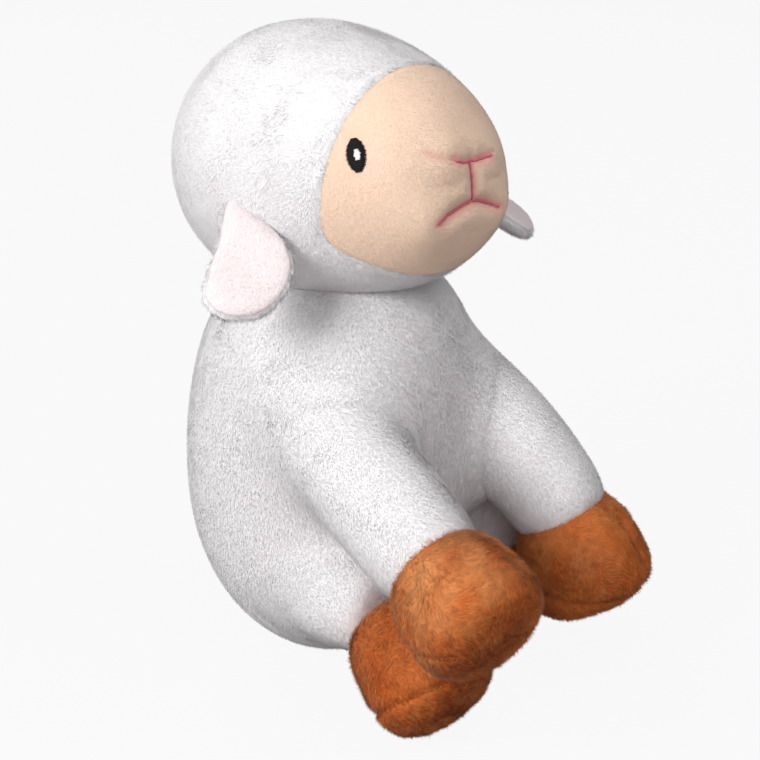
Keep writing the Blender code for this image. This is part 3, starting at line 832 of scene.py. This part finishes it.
def makeTorso():
    form = ringForm("torso", torsoRings())
    stuffForm(form, whitePlush, torso["cloth"], bodyOutline)
    points = readPoints(form.data)
    points[:, 2] = np.maximum(points[:, 2], torso["standHeight"])
    writePoints(form.data, points)
    backSeam = np.where(points[:, 1] > 0, np.abs(points[:, 0]), farOff)
    fromSeat = np.abs(np.hypot(points[:, 0], points[:, 1]) - seatPanel["radius"])
    seatSeam = np.where(points[:, 2] < torso["seatBand"], fromSeat, farOff)
    for seam in (backSeam, seatSeam):
        press(form, seam, torso["seamDepth"], torso["seamWidth"])
    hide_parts("torso_skin", "torso_filling", "pellet_bag")
    return form


torsoForm = makeTorso()
print("torso stuffed", len(torsoForm.data.polygons))

# Legs and hooves

hoof = {
    "sections": ((-0.02, 0.58), (0.07, 0.81), (0.32, 0.96), (0.58, 1.02), (0.78, 1.01), (0.92, 0.84),
                 (1.00, 0.50)),
    "seamWidth": 1.1 * millimetre,
    "frontSeamStart": 0.22,
    "cloth": {"voxel": 2.4 * millimetre, "smoothing": 2, "cap": 0.6 * millimetre, "room": 0.8 * millimetre},
    "paintedHighlightTowards": (-0.62, 0.10, 0.78),  # the side of a hoof that faces this way, towards the key lamp, is painted golden as a highlight
    "paintedHighlightStart": 0.1,
    "paintedHighlightGain": 0.95,
    "patchSize": 14 * millimetre,  # the painted highlight comes in random patches of about this size
    "patchLevel": 0.7,
    "patchSpread": 0.5,
    "patchSeed": 7,
}


def makeLeg(kind, side):
    form = legForm(kind, side, f"{kind}Leg_{side}")
    stuffForm(form, whitePlush, legCloth, bodyOutline)
    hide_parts(f"{kind}_leg_{side}")
    return form


def hoofPlacement(kind, side):
    values = legs[kind]
    return (legPlacement(values, side) @ Matrix.Translation((0, -values["length"], 0))
            @ turned((values["bend"][side], 0, 0)))


def cutInTwo(form, name, point, normal):
    # the part beyond the plane becomes a piece of its own, and both are closed at the seam
    pickOnly(form)
    bpy.ops.object.duplicate()
    beyond = bpy.context.active_object
    beyond.name = name
    for piece, clears in ((form, "clear_outer"), (beyond, "clear_inner")):
        pickOnly(piece)
        bpy.ops.object.mode_set(mode="EDIT")
        bpy.ops.mesh.select_all(action="SELECT")
        bpy.ops.mesh.bisect(plane_co=point, plane_no=normal, use_fill=True, **{clears: True})
        bpy.ops.object.mode_set(mode="OBJECT")
    return beyond


def paintedHighlight(points, normals, amount):
    # painted highlight: the pile is painted golden on the side facing the key lamp, broken into random
    # patches
    facing = normals @ np.array(hoof["paintedHighlightTowards"])
    noise = smoothNoise(points, hoof["patchSize"], hoof["patchSeed"])[:, 0]
    patches = np.clip(hoof["patchLevel"] + hoof["patchSpread"] * noise, 0, 1)
    return np.clip(hoof["paintedHighlightGain"] * facing - hoof["paintedHighlightStart"], 0, 1) * patches * amount


def makeHoof(kind, side):
    values = legs[kind]
    place = hoofPlacement(kind, side)
    length = values["hoofLength"] + values["fullness"][side]
    radius = values["hoofRadius"] + values["fullness"][side]
    form = ringForm(f"{kind}Hoof_{side}", evenRings(hoof["sections"], length, radius), place @ alongY)
    stuffForm(form, hoofPlush, hoof["cloth"])
    tilt = turned((values["soleTilt"][side], 0, 0)).to_3x3()
    seamPoint = place @ Vector((0, -values["soleShare"][side] * length, 0))
    seamNormal = (place.to_3x3() @ tilt @ Vector((0, -1, 0))).normalized()
    points = readPoints(form.data)
    toSole = (points - np.array(seamPoint)) @ np.array(seamNormal)
    press(form, np.abs(toSole), values["soleSeam"][side], hoof["seamWidth"])
    local = toLocal(points, place)
    onFront = (local[:, 2] > 0) & (-local[:, 1] > hoof["frontSeamStart"] * length) & (toSole < 0)
    frontSeam = np.where(onFront, np.abs(local[:, 0]), farOff)
    press(form, frontSeam, values["frontSeam"][side], hoof["seamWidth"])
    # the painted golden highlight is kept as a point attribute for the hoof plush
    flat = paintedHighlight(points, readNormals(form.data), values["paintedHighlightAmount"][side])
    writeAttribute(form.data, "paintedHighlight", flat)
    sole = cutInTwo(form, f"{kind}Sole_{side}", seamPoint, seamNormal)
    for piece, node in ((form, f"{kind}_hoof_{side}"), (sole, f"{kind}_sole_{side}")):
        finishMesh(piece, hoofPlush)
        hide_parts(node)
    return form, sole


legForms = {}
hoofForms = {}
for kind in legs:
    for side in sides:
        legForms[kind, side] = makeLeg(kind, side)
        hoofForms[kind, side] = makeHoof(kind, side)
print("legs and hooves stuffed")

# Head

head = {
    "fromNeck": (0, 2 * millimetre, 12 * millimetre),
    "backLength": 35.5 * millimetre,
    "snoutLength": 60 * millimetre,
    "halfWidth": 41.5 * millimetre,
    "halfHeight": 40.5 * millimetre,
    "cloth": {"voxel": 2.8 * millimetre, "smoothing": 2, "cap": 0.6 * millimetre},
    "seamStart": 18 * millimetre,  # the back seam fades out over the crown, in front of this
    "seamDepth": 0.4 * millimetre,
    "seamWidth": 1.0 * millimetre,
    "sections": (  # place from back to snout, half width, top, bottom, as shares
        (0.00, 0.42, 0.42, -0.42), (0.07, 0.74, 0.74, -0.72), (0.22, 0.97, 0.97, -0.95),
        (0.42, 1.03, 1.02, -1.02), (0.60, 0.93, 0.95, -0.96), (0.76, 0.77, 0.83, -0.80),
        (0.90, 0.64, 0.65, -0.64), (0.97, 0.50, 0.36, -0.50), (1.00, 0.26, 0.08, -0.32),
    ),
}
faceSeam = {
    "forward": 34 * millimetre,
    "drop": 13.5 * millimetre,
    "slope": 32,
    "lean": 6,
    "cornerRadius": 9 * millimetre,
    "cornerPoints": 8,
    "depth": 0.3 * millimetre,
    "width": 0.9 * millimetre,
}
stitching = {
    "shift": 0.8 * millimetre,
    "noseHeight": 8.0 * millimetre,
    "noseHalfWidth": {"right": 6.8 * millimetre, "left": 8.5 * millimetre},
    "noseEndRise": {"right": 1.4 * millimetre, "left": 0.5 * millimetre},
    "mouthHeight": -2.5 * millimetre,
    "mouthHalfWidth": {"right": 13.8 * millimetre, "left": 11.0 * millimetre},
    "mouthEndDrop": {"right": 4.0 * millimetre, "left": 3.6 * millimetre},
    "mouthCurve": 1.4,
    "linePoints": 25,
    "lipPoints": 7,
    "castFrom": -0.2,  # the lines are dropped onto the face from here, well in front of the snout
    "nostrilEnd": (-13.5 * millimetre, 11.8 * millimetre),
    "nostrilCrease": (0.6 * millimetre, 1.6 * millimetre),  # depth and width, as of the creases below
    "creases": {
        "nose": (1.1 * millimetre, 2.4 * millimetre),
        "lip": (1.7 * millimetre, 2.8 * millimetre),
        "mouth": (1.9 * millimetre, 2.6 * millimetre),
    },
    "shallowEnd": 5 * millimetre,  # the creases grow shallow over this length towards their ends
    "shallowLeast": 0.15,
    "fineDepth": 0.5 * millimetre,
    "fineWidth": 0.7 * millimetre,
    "bulge": 2.2 * millimetre,
    "bulgeWidth": 8 * millimetre,
    "threadRadius": 0.32 * millimetre,
    "stitchLength": 2.4 * millimetre,
    "stitchPoints": 6,
    "blush": 0.65,
    "blushWidth": 1.5 * millimetre,
    "nostrilBlush": 0.3,
    "nostrilBlushWidth": 1.2 * millimetre,
}
neckAxis = Vector(joints["neck_nod"]["axis"])
headTurn = Matrix.Rotation(math.atan2(neckAxis.y, neckAxis.x), 4, "Z")
headPlace = Matrix.Translation(jointPoint("neck_nod")) @ headTurn @ Matrix.Translation(head["fromNeck"])
backwards = headPlace.to_3x3() @ Vector((0, 1, 0))  # from the snout into the head


def faceSeamDistance(local):
    # side view: below zero on the face, above zero on the white
    slope = math.radians(faceSeam["slope"])
    lean = math.radians(faceSeam["lean"])
    radius = faceSeam["cornerRadius"]
    y = local[:, 1] + faceSeam["forward"] + radius
    z = local[:, 2] + faceSeam["drop"] - radius * (1 - math.sin(slope)) / math.cos(slope)
    behind = y * math.cos(lean) + z * math.sin(lean) - radius
    below = y * math.sin(slope) - z * math.cos(slope) - radius
    angle = np.arctan2(z, y)
    inCorner = (angle <= lean) & (angle >= slope - math.pi / 2)
    return np.where(inCorner, np.hypot(y, z) - radius, np.maximum(behind, below))


def stitchLines():
    # lines across the front of the face, as (x, z) seen from the front
    values = stitching
    nose = []
    mouth = []
    for share in np.linspace(-1, 1, values["linePoints"]):
        side = "left" if share > 0 else "right"
        rise = values["noseEndRise"][side] * share ** 2
        nose.append((values["shift"] + share * values["noseHalfWidth"][side], values["noseHeight"] + rise))
        drop = values["mouthEndDrop"][side] * abs(share) ** values["mouthCurve"]
        mouth.append((values["shift"] + share * values["mouthHalfWidth"][side], values["mouthHeight"] - drop))
    fall = values["mouthHeight"] - values["noseHeight"]
    lip = [(values["shift"], values["noseHeight"] + fall * share)
           for share in np.linspace(0, 1, values["lipPoints"])]
    return {"nose": nose, "lip": lip, "mouth": mouth}


frontLines = stitchLines()
nostrilLine = [frontLines["nose"][0], stitching["nostrilEnd"]]


def lineOnFace(line, tree):
    # drops a front-view line onto the head
    starts = [headPlace @ Vector((x, stitching["castFrom"], z)) for x, z in line]
    return [tree.ray_cast(start, backwards)[0] for start in starts]


def nostrilFade(local):
    # full at the end of the nose stitches and nothing at the end of the fold
    start = -stitching["noseHalfWidth"]["right"]
    end = stitching["nostrilEnd"][0]
    return np.clip((local[:, 0] - end) / (start - end), 0, 1)


def endFade(name, local):
    # a crease is full in its middle and shallow at the ends of its stitches
    if name == "lip":
        return 1.0
    least = stitching["shallowLeast"]
    across = local[:, 0] - stitching["shift"]
    widths = stitching[f"{name}HalfWidth"]
    rest = np.where(across < 0, widths["right"], widths["left"]) - np.abs(across)
    return np.clip(least + rest / stitching["shallowEnd"], least, 1)


def frontDistance(local, line):
    # distance to a stitch line as seen from the front, and far off behind the snout
    flat = local * (1, 0, 1)
    distance = distanceToLine(flat, [(x, 0, z) for x, z in line])
    return np.where(local[:, 1] < -faceSeam["forward"], distance, farOff)


def makeFaceCutter():
    slope = math.radians(faceSeam["slope"])
    lean = math.radians(faceSeam["lean"])
    radius = faceSeam["cornerRadius"]
    middleY = -faceSeam["forward"] - radius
    middleZ = -faceSeam["drop"] + radius * (1 - math.sin(slope)) / math.cos(slope)
    reach = 2 * head["snoutLength"]
    firstY = middleY + radius * math.cos(lean)
    firstZ = middleZ + radius * math.sin(lean)
    outline = [(firstY - (reach - firstZ) * math.tan(lean), reach)]
    for share in np.linspace(0, 1, faceSeam["cornerPoints"]):
        angle = lean + (slope - math.pi / 2 - lean) * share
        outline.append((middleY + radius * math.cos(angle), middleZ + radius * math.sin(angle)))
    lastY, lastZ = outline[-1]
    outline.append((-reach, lastZ + (-reach - lastY) * math.tan(slope)))
    outline.append((-reach, reach))
    mesh = bpy.data.meshes.new("faceCutter")
    mesh.from_pydata([(-reach, y, z) for y, z in outline], [], [range(len(outline))])
    cutter = bpy.data.objects.new("faceCutter", mesh)
    bpy.context.scene.collection.objects.link(cutter)
    pickOnly(cutter)
    bpy.ops.object.mode_set(mode="EDIT")
    bpy.ops.mesh.select_all(action="SELECT")
    bpy.ops.mesh.extrude_region_move(TRANSFORM_OT_translate={"value": (2 * reach, 0, 0)})
    bpy.ops.mesh.select_all(action="SELECT")
    bpy.ops.mesh.normals_make_consistent(inside=False)
    bpy.ops.object.mode_set(mode="OBJECT")
    mesh.transform(headPlace)
    return cutter


def makeHead():
    length = head["backLength"] + head["snoutLength"]
    rings = []
    for place, width, top, bottom in head["sections"]:
        rings.append((place * length - head["backLength"], width * head["halfWidth"],
                      head["halfHeight"] * (top - bottom) / 2, head["halfHeight"] * (top + bottom) / 2))
    form = ringForm("head", rings, headPlace @ alongY)
    stuffForm(form, whitePlush, head["cloth"])
    tree = treeOf(form)
    lines = {name: lineOnFace(line, tree) for name, line in frontLines.items()}
    points = readPoints(form.data)
    local = toLocal(points, headPlace)
    fromLine = {name: distanceToLine(points, line) for name, line in lines.items()}
    depth, width = stitching["nostrilCrease"]
    fromNostril = distanceToLine(points, lineOnFace(nostrilLine, tree))
    inward = depth * nearness(fromNostril, width) * nostrilFade(local)
    for name, (depth, width) in stitching["creases"].items():
        inward = np.maximum(inward, depth * endFade(name, local) * nearness(fromLine[name], width))
    nearest = np.min(list(fromLine.values()), axis=0)
    inward += stitching["fineDepth"] * nearness(nearest, stitching["fineWidth"])
    inward -= stitching["bulge"] * nearness(nearest, stitching["bulgeWidth"])
    writePoints(form.data, points - readNormals(form.data) * inward[:, None])
    press(form, np.abs(faceSeamDistance(local)), faceSeam["depth"], faceSeam["width"])
    shallow = np.clip(local[:, 1] / head["seamStart"], 0, 1)
    press(form, np.abs(local[:, 0]), head["seamDepth"] * shallow, head["seamWidth"])
    return form, lines


def cutOutFace(form):
    # the front of the head becomes a piece of its own
    cutter = makeFaceCutter()
    pickOnly(form)
    bpy.ops.object.duplicate()
    face = bpy.context.active_object
    face.name = "face"
    applyModifier(form, "Face opening", "BOOLEAN", operation="DIFFERENCE", object=cutter)
    applyModifier(face, "Face", "BOOLEAN", operation="INTERSECT", object=cutter)
    bpy.data.objects.remove(cutter)
    finishMesh(form, whitePlush)
    finishMesh(face, facePlush)
    return face


headForm, faceLines = makeHead()
headTree = treeOf(headForm)
faceForm = cutOutFace(headForm)
facePoints = readPoints(faceForm.data)
faceLocal = toLocal(facePoints, headPlace)
fromLines = np.min([frontDistance(faceLocal, line) for line in frontLines.values()], axis=0)
fromNostril = frontDistance(faceLocal, nostrilLine)
blush = np.maximum(stitching["blush"] * nearness(fromLines, stitching["blushWidth"]),
                   stitching["nostrilBlush"] * nearness(fromNostril, stitching["nostrilBlushWidth"]))
writeAttribute(faceForm.data, "blush", blush)
for piece, nodes, slotName in ((headForm, ("head_skin", "head_filling"), "white_plush"),
                               (faceForm, ("face_panel",), "face_plush")):
    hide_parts(*nodes)
print("head stuffed", len(headForm.data.polygons), len(faceForm.data.polygons))

# Embroidery

eye = {
    "bearing": 31.6,
    "elevation": 13,
    "tilt": -15,
    "rowStep": 0.42 * millimetre,
    "rowPoints": 7,
    "threadRadius": 0.30 * millimetre,
    "unevenness": 0.12 * millimetre,
    "rowTurn": 2.3,  # how far each row is out of step with the next
    "overCloth": 0.2 * millimetre,
    "castHeight": 10 * millimetre,  # the points are dropped onto the head from this height
    "ovals": {  # half width, half height, lift of the middle, shift to the snout
        "eye": (2.85 * millimetre, 4.4 * millimetre, 0.25 * millimetre, 0),
        "glint": (1.1 * millimetre, 1.4 * millimetre, 0.40 * millimetre, 0.4 * millimetre),
    },
}
thread = {"roundness": 2, "endShare": 0.35, "weld": 0.001 * millimetre, "lowest": 0.2, "swell": 0.7}


def threadPiece(name, strands, radius, material, nodes):
    # each strand is a fine tube through its own points
    curve = bpy.data.curves.new(name, "CURVE")
    curve.dimensions = "3D"
    curve.bevel_depth = radius
    curve.bevel_resolution = thread["roundness"]
    curve.use_fill_caps = True
    for strand in strands:
        spline = curve.splines.new("POLY")
        spline.points.add(len(strand) - 1)
        for number, (point, spot) in enumerate(zip(spline.points, strand)):
            point.co = (*spot, 1)
            point.radius = thread["endShare"] if number in (0, len(strand) - 1) else 1.0
    obj = bpy.data.objects.new(name, curve)
    bpy.context.scene.collection.objects.link(obj)
    pickOnly(obj)
    bpy.ops.object.convert(target="MESH")
    obj = bpy.context.active_object
    finishMesh(obj, material)
    applyModifier(obj, "Closed ends", "WELD", merge_threshold=thread["weld"])
    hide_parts(*nodes)
    return obj


def satinOval(side, halfWidth, halfHeight, lift, shift):
    # rows of thread laid side by side across an oval on the head
    sign = sides[side]
    bearing = math.radians(eye["bearing"])
    elevation = math.radians(eye["elevation"])
    aim = headPlace.to_3x3() @ Vector((sign * math.sin(bearing) * math.cos(elevation),
                                       -math.cos(bearing) * math.cos(elevation), math.sin(elevation)))
    middle, normal = headTree.ray_cast(headPlace.translation, aim)[:2]
    tilt = Euler((0, 0, sign * math.radians(eye["tilt"]))).to_quaternion()
    turn = normal.to_track_quat("Z", "Y") @ tilt
    across = turn @ Vector((1, 0, 0))
    upward = turn @ Vector((0, 1, 0))
    rows = []
    count = int(2 * halfHeight / eye["rowStep"])
    for row in range(count):
        height = halfHeight * (2 * (row + 0.5) / count - 1)
        reach = halfWidth * math.sqrt(1 - (height / halfHeight) ** 2)
        strand = []
        for share in np.linspace(-1, 1, eye["rowPoints"]):
            uneven = eye["unevenness"] * math.sin(eye["rowTurn"] * row + share)
            aside = share * reach + uneven - sign * shift
            start = middle + normal * eye["castHeight"] + across * aside + upward * height
            spot, slope = headTree.ray_cast(start, -normal)[:2]
            crown = lift * (1 - abs(share) ** 3) - (eye["threadRadius"] if abs(share) == 1 else 0)
            strand.append(spot + slope * (crown + eye["overCloth"]))
        rows.append(strand)
    return rows


def backStitches(line, radius):
    # a row of short stitches along a crease, each rounded up between its holes
    line = [Vector(point) for point in line]
    lengths = np.cumsum([0.0] + [(second - first).length for first, second in zip(line, line[1:])])
    count = max(1, round(lengths[-1] / stitching["stitchLength"]))
    strand = []
    for share in np.linspace(0, 1, count * stitching["stitchPoints"] + 1):
        distance = share * lengths[-1]
        number = max(1, min(len(line) - 1, int(np.searchsorted(lengths, distance))))
        part = (distance - lengths[number - 1]) / (lengths[number] - lengths[number - 1])
        spot = line[number - 1].lerp(line[number], part)
        spot = headTree.ray_cast(spot - backwards * eye["castHeight"], backwards)[0]
        rise = abs(math.sin(math.pi * share * count)) ** thread["swell"]
        strand.append(spot - backwards * radius * (thread["lowest"] + (1 - thread["lowest"]) * rise))
    return [strand]


embroidery = []
for side in sides:
    for part, node, material, slotName in (("eye", f"eye_{side}", blackThread, "black_thread"),
                                           ("glint", f"eye_glint_{side}", whiteThread, "white_thread")):
        rows = satinOval(side, *eye["ovals"][part])
        embroidery.append(threadPiece(f"{part}_stitching_{side}", rows, eye["threadRadius"], material,
                                      (node,)))
for name, line in faceLines.items():
    strands = backStitches(line, stitching["threadRadius"])
    embroidery.append(threadPiece(f"{name}_stitching", strands, stitching["threadRadius"], pinkThread,
                                  (f"{name}_stitch",)))
print("face embroidered")

# Ears

ear = {
    "length": 37 * millimetre,
    "halfWidth": 12.6 * millimetre,
    "halfThickness": 3.2 * millimetre,
    "sections": (  # place from root to tip, half width, half thickness, bulge to the front, as shares
        (-0.10, 0.16, 0.50, 0.00), (0.06, 0.34, 1.00, 0.05), (0.36, 0.80, 1.00, 0.24),
        (0.62, 1.02, 0.95, 0.16), (0.88, 0.90, 0.85, -0.06), (1.00, 0.42, 0.50, -0.10),
    ),
    "cloth": {"voxel": 1.5 * millimetre, "smoothing": 2, "cap": 0.4 * millimetre, "room": -0.3 * millimetre},
    "seamForward": 0.8 * millimetre,
    "seamDepth": 0.45 * millimetre,
    "seamWidth": 0.9 * millimetre,
    "droop": {"right": 50, "left": 55},
    "turn": 52,
    "curl": 1.6 * millimetre,
    "curlMiddle": 0.3,
}
leafDown = Matrix(((0, 1, 0), (1, 0, 0), (0, 0, -1))).to_4x4()  # width along Y, thickness along X, hanging


def makeEar(side):
    sign = sides[side]
    place = (Matrix.Translation(jointPoint(f"ear_lift_{side}")) @ headTurn
             @ turned((0, -sign * ear["droop"][side], -sign * ear["turn"]))) @ leafDown
    shares = [row[0] for row in ear["sections"]]
    bulges = [row[3] for row in ear["sections"]]
    rings = [(share * ear["length"], width * ear["halfWidth"], thickness * ear["halfThickness"], 0)
             for share, width, thickness, bulge in ear["sections"]]
    form = ringForm(f"ear_outer_{side}", rings)
    points = readPoints(form.data)
    points[:, 0] -= np.interp(points[:, 2] / ear["length"], shares, bulges) * ear["halfWidth"]
    writePoints(form.data, points)
    stuffForm(form, whitePlush, ear["cloth"])
    seam = sign * ear["seamForward"]
    press(form, np.abs(readPoints(form.data)[:, 1] - seam), ear["seamDepth"], ear["seamWidth"])
    inner = cutInTwo(form, f"ear_inner_{side}", Vector((0, seam, 0)), Vector((0, sign, 0)))
    for piece in (form, inner):
        points = readPoints(piece.data)
        points[:, 1] += sign * ear["curl"] * ((points[:, 0] / ear["halfWidth"]) ** 2 - ear["curlMiddle"])
        writePoints(piece.data, points)
        piece.data.transform(place)
        piece.data.update()
    finishMesh(inner, liningPlush)
    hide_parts(f"ear_{side}")
    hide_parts(f"ear_lining_{side}")
    return form, inner


ears = {side: makeEar(side) for side in sides}
print("ears made")

# Tail and seat

tail = {
    "length": 26 * millimetre,
    "radius": 7.5 * millimetre,
    "sections": ((-0.28, 0.40), (-0.16, 0.80), (0.00, 1.00), (0.30, 1.00), (0.60, 1.04), (0.85, 0.80),
                 (1.00, 0.40)),
    "sideCount": 10,
    "cloth": {"voxel": 1.8 * millimetre, "smoothing": 2, "cap": 0.4 * millimetre, "levels": 1},
    "droop": 50,
}


def makeTail():
    place = Matrix.Translation(jointPoint("tail_lift")) @ turned((tail["droop"], 0, 180)) @ alongY
    rings = evenRings(tail["sections"], tail["length"], tail["radius"])
    form = ringForm("tail_form", rings, place, tail["sideCount"])
    stuffForm(form, whitePlush, tail["cloth"])
    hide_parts("tail")
    return form


def makeSeat():
    deselectAll()
    thickness = seatPanel["thickness"]
    bpy.ops.mesh.primitive_cylinder_add(vertices=seatPanel["sideCount"], depth=thickness,
                                        radius=seatPanel["radius"] - seatPanel["gap"],
                                        location=(0, 0, thickness / 2))
    seat = bpy.context.active_object
    seat.name = "seat"
    bpy.ops.object.transform_apply(location=True, rotation=True, scale=True)
    applyModifier(seat, "Soft edge", "BEVEL", width=seatPanel["edge"], segments=seatPanel["edgeSegments"],
                  limit_method="ANGLE")
    finishMesh(seat, whitePlush, smooth=False)
    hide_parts("seat_panel")
    return seat


tailForm = makeTail()
seatForm = makeSeat()
print("tail and seat made")

# Bodies

riders = {"torso": [torsoForm, seatForm], "head": [headForm, faceForm, *embroidery], "tail": [tailForm]}
for side in sides:
    riders[f"ear_{side}"] = list(ears[side])
    for kind in legs:
        riders[f"{kind}_leg_{side}"] = [legForms[kind, side], *hoofForms[kind, side]]

# The pile of every cloth

pileSeeds = {
    "torso": 11, "head": 21, "face": 31, "leg": 41, "hoof": 51, "sole": 61, "ear": 71, "lining": 75,
    "tail": 81,
}
fringe = {  # the denser and longer pile along the seam of the face
    "flowWidth": 2.2 * millimetre,
    "flowBack": (0.9, -1.7),  # the way the pile lies, away from the seam, and what changes at it
    "flowUp": (-0.5, 0.3),
    "bareWidth": 0.05 * millimetre,
    "coverWidth": 1.2 * millimetre,
    "moreCover": 0.8,
    "lengthWidth": 1.5 * millimetre,
    "moreLength": 0.25,
}
faceEdge = {
    "bareWidth": 0.2 * millimetre,
    "bareStitch": 0.5 * millimetre,  # the pile is shortest nearer than this to the stitches
    "growWidth": 1.5 * millimetre,
    "shortest": 0.1,
}
skinDepth = 0.15 * millimetre  # points within this of the whole head's outside are its skin
brushedWays = {"torso": (0, 0, -1), "face": (0, 0.2, -1), "ear": (0, 0, -1), "tail": (0, 0.3, -1)}
legWay = {"along": 0.8, "down": -0.4}

solids = {"torso": solidOf(torsoForm), "tail": solidOf(tailForm)}
solids["head"] = {**solidOf(headForm), "tree": headTree}
solids["head"]["low"] = np.minimum(solids["head"]["low"], facePoints.min(0))
for key, form in legForms.items():
    solids[key] = solidOf(form)


def headFlow(points):
    # away from the face over the crown and down the cheeks, and over the face along its seam
    local = toLocal(points, headPlace)
    atSeam = nearness(faceSeamDistance(local), fringe["flowWidth"])
    flow = np.zeros_like(local)
    flow[:, 1] = fringe["flowBack"][0] + fringe["flowBack"][1] * atSeam
    flow[:, 2] = fringe["flowUp"][0] + fringe["flowUp"][1] * atSeam
    return flow @ np.array(headPlace.to_3x3()).T


def growTorsoPile():
    points = readPoints(torsoForm.data)
    neighbours = [solid for key, solid in solids.items() if key != "torso"]
    for number, (half, forward) in enumerate((("front", -1), ("back", 1))):
        for side, sign in sides.items():
            quarter = (points[:, 1] * forward >= 0) & (points[:, 0] * sign >= 0)
            cover = (quarter & (points[:, 2] > torso["bareHeight"])).astype(float)
            riders["torso"].append(growPile(
                f"torso_pile_{half}_{side}", torsoForm, whitePile, brushedWays["torso"], whitePlush,
                pileSeeds["torso"] + number + sign, neighbours, cover, hidden=brushing["foldDepth"]))


def growHeadPile():
    points = readPoints(headForm.data)
    local = toLocal(points, headPlace)
    fromSeam = faceSeamDistance(local)
    onSkin = np.abs(depthInside(points, solids["head"])) < skinDepth
    more = 1 + fringe["moreCover"] * nearness(fromSeam, fringe["coverWidth"])
    cover = (onSkin & (fromSeam > fringe["bareWidth"])) * more
    longer = 1 + fringe["moreLength"] * nearness(fromSeam, fringe["lengthWidth"])
    for side, sign in sides.items():
        riders["head"].append(growPile(
            f"head_pile_{side}", headForm, whitePile, headFlow(points), whitePlush, pileSeeds["head"] + sign,
            [solids["torso"]], cover * (local[:, 0] * sign >= 0), longer))


def growFacePile():
    onSkin = np.abs(depthInside(facePoints, solids["head"])) < skinDepth
    cover = (onSkin & (faceSeamDistance(faceLocal) < -faceEdge["bareWidth"])).astype(float)
    clear = np.clip((fromLines - faceEdge["bareStitch"]) / faceEdge["growWidth"], faceEdge["shortest"], 1)
    riders["head"].append(growPile("face_pile", faceForm, facePile, brushedWays["face"], facePlush,
                                   pileSeeds["face"], [], cover, clear))


def growLegPile(number, kind, side):
    body = f"{kind}_leg_{side}"
    legSkin = legForms[kind, side]
    hoofSkin, soleSkin = hoofForms[kind, side]
    along = np.array(legPlacement(legs[kind], side).to_3x3() @ Vector((0, -1, 0)))
    besideHoof = depthInside(readPoints(legSkin.data), solidOf(hoofSkin)) < brushing["hiddenDepth"]
    riders[body].append(growPile(
        f"{kind}_leg_pile_{side}", legSkin, whitePile, along * legWay["along"] + (0, 0, legWay["down"]),
        whitePlush, pileSeeds["leg"] + number, [solids["torso"]], besideHoof.astype(float),
        hidden=brushing["foldDepth"]))
    riders[body].append(growPile(f"{kind}_hoof_pile_{side}", hoofSkin, hoofPile, along, hoofPlush,
                                 pileSeeds["hoof"] + number, [solids[kind, side]]))
    riders[body].append(growPile(f"{kind}_sole_pile_{side}", soleSkin, hoofPile, along, hoofPlush,
                                 pileSeeds["sole"] + number))


def growEarPile(number, side):
    outer, inner = ears[side]
    riders[f"ear_{side}"].append(growPile(
        f"ear_pile_{side}", outer, earPile, brushedWays["ear"], whitePlush, pileSeeds["ear"] + number,
        [solids["head"], solidOf(inner)]))
    riders[f"ear_{side}"].append(growPile(
        f"ear_lining_pile_{side}", inner, liningPile, brushedWays["ear"], liningPlush,
        pileSeeds["lining"] + number, [solids["head"], solidOf(outer)]))


growTorsoPile()
growHeadPile()
growFacePile()
for number, (kind, side) in enumerate(legForms):
    growLegPile(number, kind, side)
for number, side in enumerate(sides):
    growEarPile(number, side)
riders["tail"].append(growPile("tail_pile", tailForm, whitePile, brushedWays["tail"], whitePlush,
                               pileSeeds["tail"], [solids["torso"]]))

for body, pieces in riders.items():
    for piece in pieces:
        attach(piece, body)
pieces = [piece for group in riders.values() for piece in group]
print("pile grown,", sum(len(piece.data.loop_triangles) for piece in pieces), "triangles in all")
